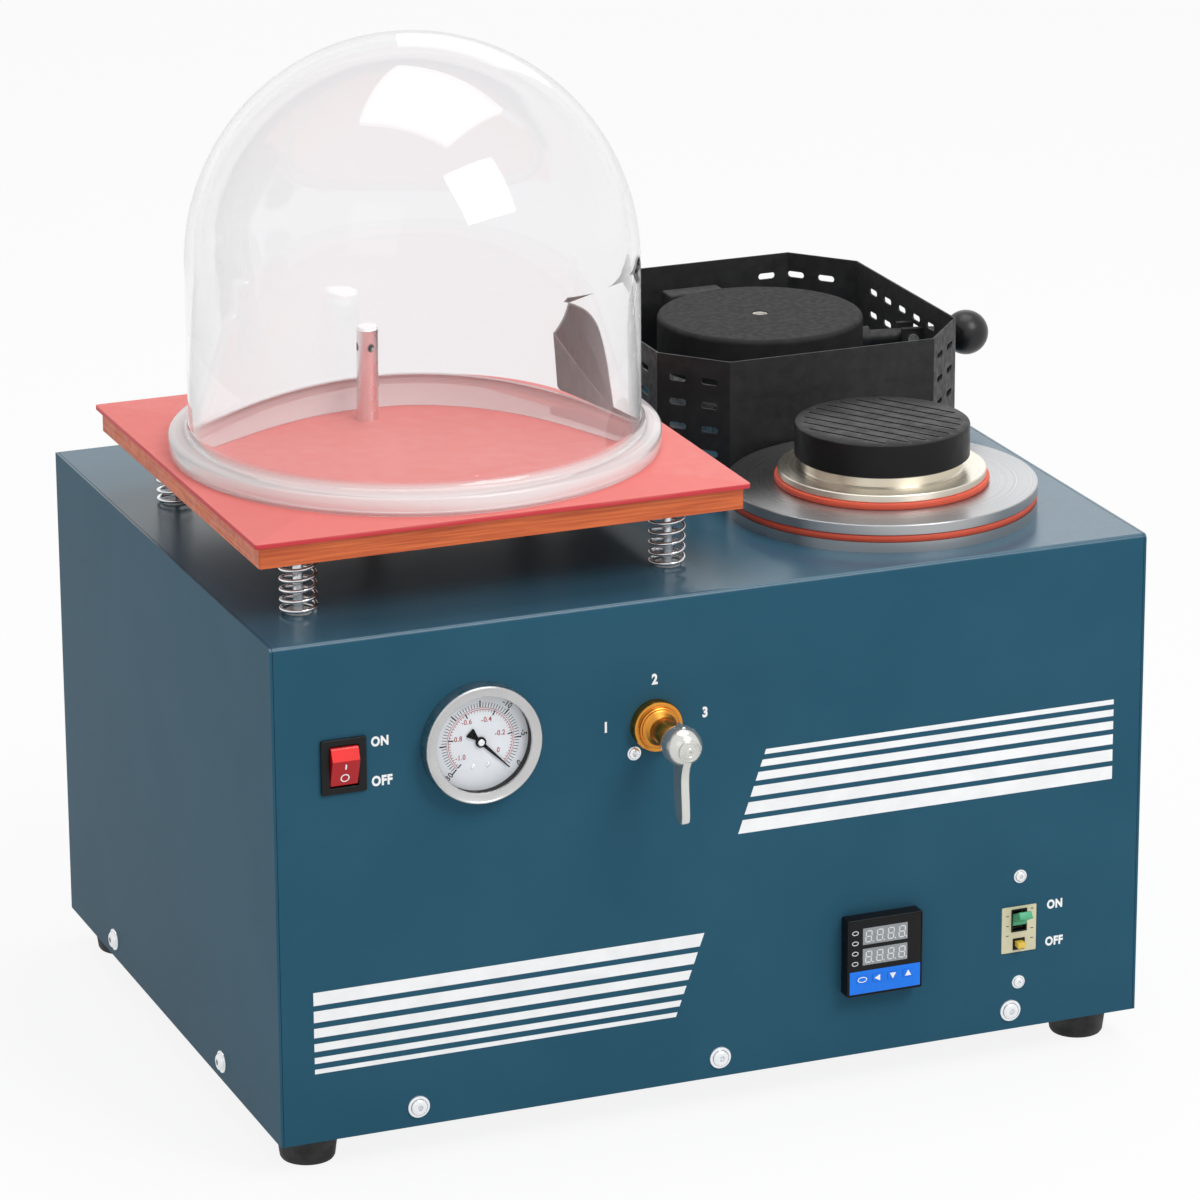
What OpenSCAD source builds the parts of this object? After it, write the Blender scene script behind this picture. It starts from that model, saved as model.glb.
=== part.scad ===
// Jewelry vacuum casting machine, in millimetres.
// Z is up, the front panel faces -Y, and the origin is on the bench in the middle of the cabinet.

/* [Cabinet] */
// Width of the cabinet
body_w = 540; // [500:5:600]
// Depth of the cabinet
body_d = 405; // [390:5:450]
// Height of the cabinet above its feet
body_h = 298.5; // [280:0.5:330]
// Thickness of the sheet metal
sheet_t = 1.5; // [1:0.1:2]
// Gap along the seams at both ends of the folded panel
seam_gap = 0.3; // [0.2:0.1:0.6]
// Outside radius of the fold between front and top
fold_r = 3; // [2.5:0.5:5]
// Width of the flanges inside the side panels
flange_w = 10; // [8:1:14]
// Height of the rim around the bottom pan
pan_rim = 24; // [20:1:30]
// Clearance around fixed pieces in their holes
hole_gap = 0.3; // [0.2:0.05:0.4]
// Clearance around pieces that turn or slide
run_gap = 0.06; // [0.03:0.01:0.09]

/* [Rear panel] */
// Width of a louvre
louvre_w = 70; // [50:5:80]
// Height of a louvre's slit
louvre_t = 4; // [3:0.5:5]
// Spacing of the rows of louvres
louvre_step = 12; // [9:1:13]
// Rows of louvres
louvre_rows = 8; // [4:1:8]
// Height of the lowest row above the cabinet's bottom edge
louvre_z = 150; // [130:5:160]
// Place of the power inlet along X
inlet_x = 60; // [40:5:90]
// Height of the power inlet above the cabinet's bottom edge
inlet_z = 60; // [50:5:80]
// Width of the power inlet's body
inlet_w = 27; // [25:0.5:28]
// Height of the power inlet's body
inlet_h = 22; // [19:0.5:24]
// Depth of the power inlet behind the panel
inlet_len = 24; // [22:1:30]

/* [Feet and screws] */
// Height of a rubber foot
foot_h = 20; // [15:1:30]
// Diameter of a foot against the cabinet
foot_top_d = 37; // [30:1:45]
// Diameter of a foot on the bench
foot_tip_d = 32; // [26:1:40]
// Distance from a foot's centre to the cabinet's side
foot_in_x = 25; // [22:1:40]
// Distance from a foot's centre to the cabinet's front or back
foot_in_y = 28; // [22:1:40]
// Depth of a foot above its screw's head
foot_seat = 10; // [8:1:12]
// Diameter of a cover screw's flange
screw_flange_d = 13.5; // [11:0.5:14]
// Diameter of a cover screw's shank
screw_d = 4; // [3:0.5:5]
// Height of a cover screw's head
screw_head_h = 3.2; // [2.6:0.1:4]
// Length of a cover screw's shank
screw_len = 9; // [6:0.5:12]
// Height of the cover screws above the cabinet's bottom edge
screw_z = 12; // [9:0.5:16]
// Spacing of the three screws along the front and back
screw_step_x = 187; // [170:1:200]
// Spacing of the two screws along each side
screw_step_y = 208; // [180:1:230]

/* [Vacuum table] */
// Place of the table's centre along X
table_x = -121.5; // [-123:0.5:-110]
// Place of the table's centre along Y
table_y = -34; // [-40:0.5:-30]
// Side of the square plate
plate_w = 291; // [280:1:296]
// Thickness of the plate
plate_t = 12.5; // [11:0.5:15]
// Side of the silicone pad
pad_w = 297; // [290:1:300]
// Thickness of the silicone pad
pad_t = 3; // [2:0.5:5]
// Corner radius of plate and pad
plate_corner_r = 1.5; // [1:0.5:8]
// Height of the springs between deck and plate
spring_h = 39; // [34:0.5:45]
// Outside diameter of a spring
spring_d = 22; // [19:0.5:24]
// Diameter of the spring wire
wire_d = 2.2; // [1.8:0.1:2.6]
// Turns in a spring
spring_turns = 6; // [5:1:7]
// Spacing of the four springs
spring_step = 224; // [210:1:232]
// How far the table can be pressed down
table_travel = 10; // [6:1:12]
// Diameter of a guide bolt's shank
bolt_d = 6; // [5:0.5:7]
// Depth of a guide bolt in the plate
bolt_in = 8; // [6:0.5:9]
// Width across the corners of a guide bolt's head
bolt_head_d = 14; // [13.5:0.5:16]
// Height of a guide bolt's head
bolt_head_h = 5; // [4:0.5:7]
// Outside diameter of a guide bush
bush_d = 11; // [10:0.5:12]
// Diameter of a guide bush's flange
bush_flange_d = 15; // [13:0.5:16]
// Thickness of a guide bush's flange
bush_flange_t = 1.2; // [1:0.1:2]
// Length of a guide bush below the deck sheet
bush_len = 10; // [8:1:14]

/* [Suction nipple] */
// Place of the nipple from the table's centre along X
nipple_dx = 8.8; // [0:0.2:16]
// Place of the nipple from the table's centre along Y
nipple_dy = 106; // [98:1:110]
// Outside diameter of the nipple
nipple_d = 13; // [11:0.5:14]
// Bore of the nipple
nipple_bore = 8; // [6:0.5:9]
// Height of the nipple above the pad
nipple_h = 44; // [30:1:60]
// Diameter of the four cross holes
nipple_hole_d = 4; // [3:0.5:5]
// Diameter of the collar under the plate
collar_d = 24; // [20:1:28]
// Thickness of the collar
collar_t = 4; // [3:0.5:6]
// Wall of the port sleeve
port_wall = 3; // [2:0.5:4]
// Depth of the nipple in the port sleeve
nipple_in = 30; // [24:1:36]

/* [Bell jar] */
// Outside diameter of the wall
jar_d = 263; // [250:1:266]
// Thickness of the wall
jar_t = 5.5; // [4:0.5:8]
// Height of the straight wall above the pad
jar_wall_h = 110.5; // [90:0.5:140]
// Outside diameter of the flange
jar_flange_d = 287; // [280:1:290]
// Thickness of the flange
jar_flange_t = 11; // [8:0.5:14]
// Radius of the fillet between flange and wall
jar_fillet_r = 7; // [5:0.5:8]

/* [Power switch] */
// Place of the switch along X
rocker_x = -228.5; // [-232:0.5:-225]
// Drop from the deck to the switch
rocker_drop = 73.5; // [66:0.5:84]
// Width of the switch frame
frame_w = 27; // [25:0.5:29]
// Height of the switch frame
frame_h = 32.5; // [31:0.5:35]
// Depth of the switch frame in front of the panel
frame_t = 2; // [1.5:0.5:3]
// Width of the rocker
key_w = 16.5; // [15:0.5:17]
// Height of the rocker
key_h = 23.4; // [21:0.2:24]
// Depth of the switch housing behind the panel
housing_len = 22; // [20:1:30]
// Tilt of the rocker to each side
key_tilt = 8; // [5:1:10]
// Diameter of the rocker's pivot stubs
key_pin_d = 2.4; // [2:0.2:3]

/* [Vacuum gauge] */
// Place of the gauge along X
gauge_x = -147.5; // [-152:0.5:-143]
// Drop from the deck to the gauge's centre
gauge_drop = 70.1; // [64:0.1:78]
// Outside diameter of the bezel
gauge_d = 70; // [66:1:72]
// Height of the bezel in front of the panel
gauge_t = 10; // [8:0.5:12]
// Diameter of the case behind the panel
gauge_case_d = 62; // [58:1:63]
// Depth of the case behind the panel
gauge_len = 28; // [24:1:34]
// Wall of the case
gauge_wall = 1.5; // [1.2:0.1:2]
// Width of the bezel's lip over the lens
gauge_lip = 4.5; // [4:0.5:6]
// Thickness of the lens
lens_t = 2; // [1.5:0.5:2.5]
// Thickness of the dial
dial_t = 1; // [0.8:0.1:1.5]
// Thickness of the bezel's back behind the dial
gauge_web_t = 1; // [0.8:0.1:1.5]
// Length of the needle's tip from its axis
needle_len = 22; // [20:0.5:24]
// Length of the needle's tail from its axis
needle_tail = 9; // [7:0.5:11]
// Angle of the needle at rest from the dial's right, below it
needle_rest = 45; // [40:1:50]

/* [Valve] */
// Place of the valve along X
valve_x = -40.7; // [-44:0.5:-38]
// Drop from the deck to the valve
valve_drop = 74.8; // [70:0.2:80]
// Diameter of the brass rosette
rosette_d = 30; // [28:1:32]
// Thickness of the rosette's rim
rosette_t = 3; // [2:0.5:4]
// Diameter of the rosette's neck
neck_d = 18; // [16:0.5:20]
// Length of rosette and neck in front of the panel
neck_len = 28; // [26:0.5:29]
// Diameter of the lever's hub
hub_d = 23; // [21:0.5:25]
// Distance from the panel to the hub's centre
hub_out = 40; // [38:0.5:44]
// Length of the lever arm from the axis
lever_len = 46; // [40:1:55]
// Width of the lever arm
lever_w = 5; // [4:0.5:7]
// Depth of the lever arm
lever_t = 14; // [11:0.5:16]
// Diameter of the cap on the hub
cap_d = 12; // [10:0.5:13]
// Thickness of the cap
cap_t = 2; // [1.5:0.5:3]
// Diameter of the valve's stem
stem_d = 10; // [8:0.5:11]
// Diameter of the valve's plug
plug_d = 24; // [22:1:26]
// Diameter of the valve body
valve_d = 34; // [32:1:35]
// Length of the valve body behind the panel
valve_len = 38; // [36:1:44]
// Distance from the valve's axis to the end of a port
port_out = 42; // [38:1:44]

/* [Controller] */
// Place of the controller along X
control_x = 100.8; // [96:0.5:105]
// Height of the controller above the cabinet's bottom edge
control_z = 64.3; // [60:0.5:70]
// Side of the square controller face
control_w = 48; // [46:1:50]
// Height of the face in front of the panel
control_t = 9.5; // [6:0.5:10]
// Side of the case behind the panel
control_case_w = 44.5; // [42:0.5:45]
// Depth of the case behind the panel
control_len = 75; // [60:5:80]
// Border of the case around its face plate
control_border = 2; // [1.5:0.5:3]
// Thickness of the face plate
face_t = 1.6; // [1.2:0.1:2]
// Height of a key
button_h = 4.4; // [3:0.2:4.6]
// Width of a key
button_w = 6.4; // [5:0.2:7]
// Spacing of the four keys
button_step = 9.8; // [9:0.1:10.4]
// Drop from the face's centre to the row of keys
button_drop = 13.5; // [13:0.5:17]
// How far a key stands out of the face plate
button_out = 0.5; // [0.3:0.1:0.8]
// How far a key is pressed in
button_travel = 0.6; // [0.4:0.1:0.7]

/* [Breaker] */
// Place of the breaker along X
breaker_x = 192; // [188:0.5:196]
// Height of the breaker above the cabinet's bottom edge
breaker_z = 63; // [60:0.5:66]
// Width of the breaker's front in its window
window_w = 22.6; // [21:0.2:24]
// Height of the breaker's front in its window
window_h = 29; // [27:0.5:31]
// Width of the breaker behind the panel
breaker_w = 26; // [25:0.5:28]
// Height of the breaker behind the panel
breaker_h = 74; // [72:1:78]
// Depth of the breaker behind the panel
breaker_len = 58; // [50:1:64]
// Diameter of the toggle's drum
drum_d = 12; // [11:0.5:13]
// Width of the toggle
toggle_w = 9; // [8:0.5:10]
// Reach of the toggle's handle from its axis
toggle_out = 13; // [12:0.5:14]
// Turn of the toggle to each side
toggle_turn = 30; // [20:5:35]
// Height of the toggle's axis above the window's centre
toggle_up = 5.5; // [5:0.5:6]
// Side of the square test button
test_w = 5; // [4:0.5:6]
// Drop from the window's centre to the test button
test_drop = 9; // [8:0.5:10]
// How far the test button is pressed in
test_travel = 1; // [0.6:0.1:1.2]
// Spacing of the breaker's two screws
breaker_screw_step = 67; // [64:1:69]
// Diameter of a panel screw's head
small_head_d = 8.5; // [6:0.5:9]
// Diameter of a panel screw's shank
small_screw_d = 3; // [2.5:0.5:4]
// Place of the lone panel screw from the valve along X
lone_dx = -12.8; // [-14:0.2:-12]
// Place of the lone panel screw from the valve along Z
lone_dz = -15.9; // [-18:0.1:-15]

/* [Casting station] */
// Place of the chamber along X
cast_x = 150.8; // [148:0.2:154]
// Place of the chamber along Y
cast_y = -91.3; // [-94:0.5:-90]
// Diameter of the chamber's flange and of the adapter plate
cast_flange_d = 184.6; // [180:0.2:186]
// Thickness of the chamber's flange
cast_flange_t = 6.1; // [5:0.1:8]
// Inside diameter of the chamber
chamber_d = 126; // [116:1:130]
// Wall of the chamber
chamber_t = 3; // [2:0.5:4]
// Depth of the chamber below the deck
chamber_len = 190; // [160:5:200]
// Thickness of the large gasket
gasket_a_t = 4.1; // [3:0.1:5]
// Thickness of the adapter plate
adapter_t = 6.4; // [5:0.1:8]
// Bore of the adapter plate
adapter_bore = 90; // [80:1:100]
// Diameter of the small gasket
gasket_b_d = 127.2; // [120:0.2:132]
// Thickness of the small gasket
gasket_b_t = 3.9; // [3:0.1:5]
// Diameter of the flask seat
seat_d = 123.6; // [118:0.2:130]
// Thickness of the flask seat
seat_t = 4.5; // [4:0.1:6]
// Diameter of the seat's step
step_d = 95.2; // [90:0.2:100]
// Height of the seat's step
step_h = 7; // [5:0.5:9]
// Diameter of the flask pad
flask_pad_d = 103.8; // [100:0.2:108]
// Thickness of the flask pad
flask_pad_t = 20.2; // [16:0.2:24]
// Bore of the flask seat
seat_bore = 80; // [70:1:86]
// Width of a suction slot in the flask pad
groove_w = 1.6; // [1.2:0.1:2]
// Spacing of the suction slots
groove_step = 9.5; // [8:0.1:10]
// Diameter of the circle that the slots end on
groove_reach = 93; // [88:1:96]
// Direction of the slots from X
groove_turn = -57; // [-90:1:90]

/* [Furnace] */
// Place of the furnace along X
furnace_x = 160; // [158:0.5:162]
// Place of the furnace along Y
furnace_y = 111.5; // [110:0.5:113]
// Width of the sheet guard along X
guard_w = 199; // [194:1:204]
// Width of the sheet guard along Y
guard_d = 221; // [214:1:222]
// Height of the guard
guard_h = 70; // [68:1:76]
// Thickness of the guard's sheet
guard_t = 1.2; // [1:0.1:1.6]
// Length of the guard's cut corners along X
cut_x = 32; // [28:1:36]
// Length of the guard's cut corners along Y
cut_y = 37; // [32:1:42]
// Width of the guard's flange on the deck
guard_foot = 9; // [7:1:11]
// Length of a slot in the guard
slot_len = 11.5; // [9:0.5:13]
// Height of a slot in the guard
slot_w = 4; // [3:0.5:5]
// Spacing of the slots along a side
slot_step = 21.4; // [20:0.2:24]
// Distance from the back right bend to the first slots of the right side
right_start = 27.3; // [25:0.1:30]
// Spacing of the rows of slots
row_step = 15; // [13:0.5:16]
// Drop from the guard's rim to the first row
row_drop = 14; // [12:0.5:16]
// Diameter of the furnace shell
shell_d = 130; // [126:1:134]
// Thickness of the furnace shell
shell_t = 1.5; // [1:0.1:2]
// Height of the furnace mouth above the deck
mouth_up = 35; // [30:1:38]
// Depth of the furnace below the deck
furnace_len = 150; // [130:5:170]
// Bore of the fibre lining
bore_d = 76; // [70:1:80]
// Thickness of the lining's floor
floor_t = 25; // [20:1:35]
// Diameter of the heating wire
coil_wire_d = 2; // [1.6:0.1:2.4]
// Turns of the heating coil
coil_turns = 12; // [10:1:14]
// Height of the heating coil
coil_h = 96; // [90:1:110]
// Outside diameter of the crucible
crucible_d = 56; // [50:1:60]
// Height of the crucible
crucible_h = 100; // [80:1:115]
// Wall of the crucible
crucible_t = 7; // [5:0.5:9]
// Diameter of the thermocouple
probe_d = 5; // [4:0.5:6]
// Length of the heater's terminal box along X
terminal_l = 38; // [30:1:44]
// Width of the heater's terminal box along Y
terminal_w = 15; // [12:1:18]
// Height of the heater's terminal box
terminal_h = 60; // [50:1:66]
// Distance from the furnace's centre to the terminal box's middle along X
terminal_in = 10; // [0:1:30]
// Distance from the furnace's centre to the terminal box's middle along Y
terminal_back = 83; // [80:1:88]

/* [Furnace lid] */
// Diameter of the lid
lid_d = 128; // [124:1:132]
// Height of the lid
lid_h = 30; // [26:1:34]
// Radius of the lid's top edge
lid_edge_r = 3; // [2:0.5:5]
// Wall of the lid
lid_wall = 6; // [5:0.5:8]
// Diameter of the hole in the lid
lid_hole_d = 10; // [8:1:12]
// Diameter of the lid's rod
rod_d = 10; // [8:0.5:11]
// Direction of the rod, turned from X towards the front
rod_turn = 10.7; // [8:0.1:12]
// Height of the rod above the deck
rod_up = 45; // [43:0.5:47]
// Distance from the lid's centre to the rod's pivot
pivot_out = 96; // [95:0.5:97]
// Distance from the lid's centre to the knob's centre
knob_out = 132.2; // [130:0.2:134]
// Diameter of the ball knob
knob_d = 28; // [25:1:29]
// Angle that the lid opens
lid_open = 50; // [40:5:50]
// Diameter of the pivot pin
pivot_d = 4; // [3:0.5:5]
// Thickness of a pivot lug
lug_t = 4; // [3:0.5:5]

/* [Vacuum pump] */
// Place of the pump's case along X
pump_x = -180; // [-185:1:-175]
// Place of the pump's axis along Y
pump_y = 70; // [66:1:76]
// Length of the pump's case along X
pump_l = 96; // [90:1:100]
// Width of the pump's case
pump_w = 120; // [110:1:124]
// Height of the pump's case
pump_h = 130; // [120:1:134]
// Diameter of the motor
motor_d = 112; // [104:1:116]
// Length of the motor
motor_len = 138; // [130:1:144]
// Length of the motor's fan cowl
cowl_len = 30; // [26:1:34]
// Diameter of the motor shaft
shaft_d = 12; // [10:1:14]
// Wall of the fan cowl
cowl_wall = 3; // [2:0.5:4]
// Diameter of the fan's hub
fan_hub_d = 30; // [24:1:36]
// Blades on the motor fan
fan_blades = 7; // [5:1:9]
// Distance from the middle of the pump's case to its suction port
suction_off = 10; // [5:1:15]
// Distance from the middle of the pump's case to its exhaust port
exhaust_off = 20; // [10:1:26]
// Height of the exhaust port above the pump's base
exhaust_up = 100; // [80:5:110]
// Length of the exhaust pipe behind the rear panel
exhaust_out = 14; // [12:1:24]
// Outside diameter of a vacuum pipe
pipe_d = 14; // [13:0.5:15]
// Bore of a vacuum pipe, which goes over a fitting's end
pipe_bore = 10.6; // [10:0.1:11]
// Bore of a fitting
fitting_bore = 6; // [5:0.5:7]

/* [Hidden] */
$fn = 64;
eps = 0.01;
deck_z = foot_h + body_h;
rocker_z = body_h - rocker_drop;
gauge_z = body_h - gauge_drop;
valve_z = body_h - valve_drop;
under_z = deck_z - sheet_t;
front_y = -body_d / 2;
back_y = body_d / 2;
in_front_y = front_y + sheet_t;
in_back_y = back_y - sheet_t;
in_x = body_w / 2 - sheet_t;
plate_z = deck_z + spring_h;
pad_z = plate_z + plate_t;
top_z = pad_z + pad_t;
nipple_x = table_x + nipple_dx;
nipple_y = table_y + nipple_dy;
port_d = nipple_d + 2 * run_gap + 2 * port_wall;
barb_d = pipe_bore - 2 * hole_gap;
barb_len = 14;
barb_step = 6;
bend_bead = 0.6;
port_flange_d = port_d + 12;
port_seat = nipple_in - sheet_t + table_travel + 3;
port_len = port_seat + barb_step + barb_len;
port_flange_t = 3;
spring_r = (spring_d - wire_d) / 2;
valve_mid = valve_len / 2;
plug_len = valve_len - 2;
port_tube_d = 16;
stack_1 = deck_z + cast_flange_t;
stack_2 = stack_1 + gasket_a_t;
stack_3 = stack_2 + adapter_t;
stack_4 = stack_3 + gasket_b_t;
stack_5 = stack_4 + seat_t;
stack_6 = stack_5 + step_h;
chamber_port_z = foot_h + valve_z;
chamber_port_x = 62;
mouth_z = deck_z + mouth_up;
lid_z = mouth_z + hole_gap;
lid_fill_h = lid_h - lid_wall;
rod_z = deck_z + rod_up;
furnace_low = deck_z - furnace_len;
lining_d = shell_d - 2 * shell_t - 2 * hole_gap;
lining_low = furnace_low + shell_t;
bore_low = lining_low + floor_t;
shell_flange_d = shell_d + 10;
shell_flange_t = 2;
coil_r = bore_d / 2 - coil_wire_d / 2 - 0.45;
coil_low = bore_low + 8;
motor_z = foot_h + sheet_t + motor_d / 2 + 16;
pump_low = foot_h + sheet_t;
pump_top = pump_low + pump_h;
motor_x = pump_x + pump_l / 2;
cowl_x = motor_x + motor_len;
suction_x = pump_x - suction_off;
gauge_port_x = gauge_x;
exhaust_x = pump_x - exhaust_off;
exhaust_z = pump_low + exhaust_up;
bush_low = under_z - bush_len;
key_axis_in = 1;
needle_pin_d = 2;
bezel_lip = 2;
bezel_wall = 2.2;
dial_z = gauge_web_t;
dial_seat_d = gauge_d - 2 * bezel_wall;
control_in = control_w - 2 * control_border;
control_seat = control_t - face_t - 0.2;
face_w = control_in - 2 * hole_gap;
button_well = button_travel + 0.2;
drum_axis_in = 2;
probe_z = furnace_low + 70;
probe_out = 24;
wall_in_x = guard_w / 2 - guard_t;
lever_slot_y = -(wall_in_x / cos(rod_turn)) * sin(rod_turn);
slot_from_pivot = wall_in_x / cos(rod_turn) + guard_t - pivot_out;
lever_slot_low = rod_up - slot_from_pivot * tan(lid_open) - rod_d / 2 / cos(lid_open) - 2;
lever_slot_top = rod_up + rod_d / 2 + 1.5;
pipe_grip = 12;
louvre_xs = [-60, 30, 180];

teal = [0.10, 0.42, 0.46];
black = [0.07, 0.07, 0.08];
steel = [0.75, 0.76, 0.77];
brass = [0.72, 0.56, 0.28];
salmon = [0.90, 0.50, 0.42];
orange = [0.85, 0.30, 0.16];
brown = [0.62, 0.34, 0.16];
cream = [0.90, 0.87, 0.76];
white = [0.93, 0.93, 0.91];
clear = [0.85, 0.90, 0.92, 0.35];
cast_grey = [0.50, 0.52, 0.54];

/* Helpers */

// Places children on the front panel with +Z out of the panel and +Y up.
module on_front(x, z) {
    translate([x, front_y, foot_h + z]) rotate([90, 0, 0]) children();
}

module ring(outer_d, inner_d, h) {
    difference() {
        cylinder(h = h, d = outer_d);
        translate([0, 0, -1]) cylinder(h = h + 2, d = inner_d);
    }
}

module box(w, d, h) {
    translate([-w / 2, -d / 2, 0]) cube([w, d, h]);
}

module soft_square(w, r) {
    square([w - 2 * r, w], center = true);
    square([w, w - 2 * r], center = true);
    for (sx = [-1, 1], sy = [-1, 1])
        translate([sx * (w / 2 - r), sy * (w / 2 - r)]) circle(r = r);
}

module at_springs() {
    for (sx = [-1, 1], sy = [-1, 1])
        translate([table_x + sx * spring_step / 2, table_y + sy * spring_step / 2, 0]) children();
}

module at_feet() {
    for (sx = [-1, 1], sy = [-1, 1])
        translate([sx * (body_w / 2 - foot_in_x), sy * (body_d / 2 - foot_in_y), 0]) children();
}

// Places children at the cover screws, with +Z out of the cabinet.
module at_cover_screws() {
    for (x = [-screw_step_x, 0, screw_step_x]) {
        translate([x, front_y, foot_h + screw_z]) rotate([90, 0, 0]) children();
        translate([x, back_y, foot_h + screw_z]) rotate([-90, 0, 0]) children();
    }
    for (y = [-screw_step_y / 2, screw_step_y / 2]) {
        translate([-body_w / 2, y + 7, foot_h + screw_z]) rotate([0, -90, 0]) children();
        translate([body_w / 2, y + 7, foot_h + screw_z]) rotate([0, 90, 0]) children();
    }
}

module screw_hole(d) {
    translate([0, 0, -screw_len - 2]) cylinder(h = screw_len + 4, d = d + 2 * hole_gap);
}

module button_screw(len) {
    rim_t = 1;
    dome_d = 9.6;
    socket_d = 3.4;
    difference() {
        union() {
            translate([0, 0, -len]) cylinder(h = len + eps, d = screw_d);
            cylinder(h = rim_t, d = screw_flange_d);
            cylinder(h = screw_head_h, d1 = dome_d + 1, d2 = dome_d - 3);
        }
        translate([0, 0, screw_head_h - 1.8]) cylinder(h = 2, d = socket_d, $fn = 6);
    }
}

// A straight round rod between two points.
module rod(a, b, d) {
    v = b - a;
    len = norm(v);
    translate(a) rotate([0, acos(v[2] / len), atan2(v[1], v[0])]) cylinder(h = len, d = d);
}

module bent_rod(points, d) {
    for (i = [0 : len(points) - 2]) rod(points[i], points[i + 1], d);
    for (i = [1 : len(points) - 2]) translate(points[i]) rotate([37, 23, 0]) sphere(d = d + bend_bead);
}

module bent_pipe(points, outer_d, inner_d) {
    last = len(points) - 1;
    first_dir = (points[1] - points[0]) / norm(points[1] - points[0]);
    last_dir = (points[last] - points[last - 1]) / norm(points[last] - points[last - 1]);
    difference() {
        bent_rod(points, outer_d);
        bent_rod(points, inner_d);
        rod(points[0] - first_dir, points[0] + first_dir, inner_d);
        rod(points[last] - last_dir, points[last] + last_dir, inner_d);
    }
}

/* Wound wire */

// A helix climbs from 0 to 1 of its turns; its ends run straight up for one wire diameter.
function helix_point(r, h, stub, turns, t) =
    let (a = 360 * turns * t, s = t * t * (3 - 2 * t), k = 0.6 * t + 0.4 * s)
    [r * cos(a), r * sin(a), stub + (h - 2 * stub) * k];

function helix_path(r, h, stub, turns, rings) = concat(
    [[r, 0, 0]],
    [for (i = [0 : turns * rings]) helix_point(r, h, stub, turns, i / (turns * rings))],
    [[r * cos(360 * turns), r * sin(360 * turns), h]]
);

function unit(v) = v / norm(v);

function tangent(p, i) =
    i == 0 ? [0, 0, 1] : i == len(p) - 1 ? [0, 0, 1] : unit(p[i + 1] - p[i - 1]);

function wire_ring(p, i, d, sides) =
    let (t = tangent(p, i), out = unit([p[i][0], p[i][1], 0]), b = unit(cross(t, out)), n = cross(b, t))
    [for (k = [0 : sides - 1]) p[i] + d / 2 * (cos(360 * k / sides) * n + sin(360 * k / sides) * b)];

// The least distance between points of the path that are more than half a turn apart, less the wire.
function self_gap(p, d, rings) = min([
    for (i = [1 : len(p) - 2])
        for (j = [i + rings / 2 : 1 : min(i + rings * 3 / 2, len(p) - 2)])
            norm(p[i] - p[j])
]) - d;

module wire(p, d, sides) {
    n = len(p);
    points = [for (i = [0 : n - 1]) each wire_ring(p, i, d, sides)];
    walls = [
        for (i = [0 : n - 2], k = [0 : sides - 1])
            let (a = i * sides + k, b = i * sides + (k + 1) % sides)
            each [[a, a + sides, b], [b, a + sides, b + sides]]
    ];
    low = [for (k = [1 : sides - 2]) [0, k, k + 1]];
    top = (n - 1) * sides;
    high = [for (k = [1 : sides - 2]) [top, top + k + 1, top + k]];
    polyhedron(points = points, faces = concat(walls, low, high));
}

ring_count = 8;
wire_sides = 6;
spring_path = helix_path(spring_r, spring_h, wire_d, spring_turns, ring_count);
coil_path = helix_path(coil_r, coil_h, coil_wire_d, coil_turns, ring_count);
echo(spring_self_gap = self_gap(spring_path, wire_d, ring_count));
echo(coil_self_gap = self_gap(coil_path, coil_wire_d, ring_count));

/* Cabinet */

module front_cuts() {
    cut_l = 3 * sheet_t;
    on_front(rocker_x, rocker_z)
        translate([0, 0, -cut_l / 2])
            box(frame_w - 3 + 2 * hole_gap, frame_h - 3 + 2 * hole_gap, cut_l);
    on_front(gauge_x, gauge_z)
        translate([0, 0, -cut_l]) cylinder(h = 2 * cut_l, d = gauge_case_d + 2 * hole_gap);
    on_front(valve_x, valve_z)
        translate([0, 0, -cut_l]) cylinder(h = 2 * cut_l, d = stem_d + 2 * hole_gap);
    on_front(control_x, control_z)
        translate([0, 0, -cut_l])
            box(control_case_w + 2 * hole_gap, control_case_w + 2 * hole_gap, 2 * cut_l);
    on_front(breaker_x, breaker_z)
        translate([0, 0, -cut_l]) box(window_w + 2 * hole_gap, window_h + 2 * hole_gap, 2 * cut_l);
    at_panel_screws() screw_hole(small_screw_d);
    at_cover_screws() screw_hole(screw_d);
}

module deck_cuts() {
    at_springs() translate([0, 0, under_z - 1])
        cylinder(h = sheet_t + 2, d = bush_d + 2 * hole_gap);
    translate([nipple_x, nipple_y, under_z - 1]) cylinder(h = sheet_t + 2, d = nipple_d + 2);
    translate([cast_x, cast_y, under_z - 1])
        cylinder(h = sheet_t + 2, d = chamber_d + 2 * chamber_t + 2 * hole_gap);
    translate([furnace_x, furnace_y, under_z - 1]) cylinder(h = sheet_t + 2, d = shell_d + 2 * hole_gap);
}

module fold_section() {
    translate([front_y, foot_h]) square([sheet_t, body_h - fold_r]);
    translate([front_y + fold_r, under_z]) square([body_d - fold_r, sheet_t]);
    translate([front_y + fold_r, deck_z - fold_r]) difference() {
        circle(r = fold_r);
        circle(r = fold_r - sheet_t);
        translate([0, -fold_r - 1]) square([fold_r + 1, 2 * fold_r + 2]);
        translate([-fold_r - 1, -fold_r - 1]) square([2 * fold_r + 2, fold_r + 1]);
    }
}

module front_top_panel() {
    color(teal) difference() {
        rotate([90, 0, 90]) linear_extrude(height = 2 * (in_x - seam_gap), center = true) fold_section();
        front_cuts();
        deck_cuts();
    }
}

module side_outline() {
    translate([front_y, foot_h]) square([body_d, body_h - fold_r]);
    translate([front_y + fold_r, foot_h]) square([body_d - fold_r, body_h]);
    translate([front_y + fold_r, deck_z - fold_r]) circle(r = fold_r);
}

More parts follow.
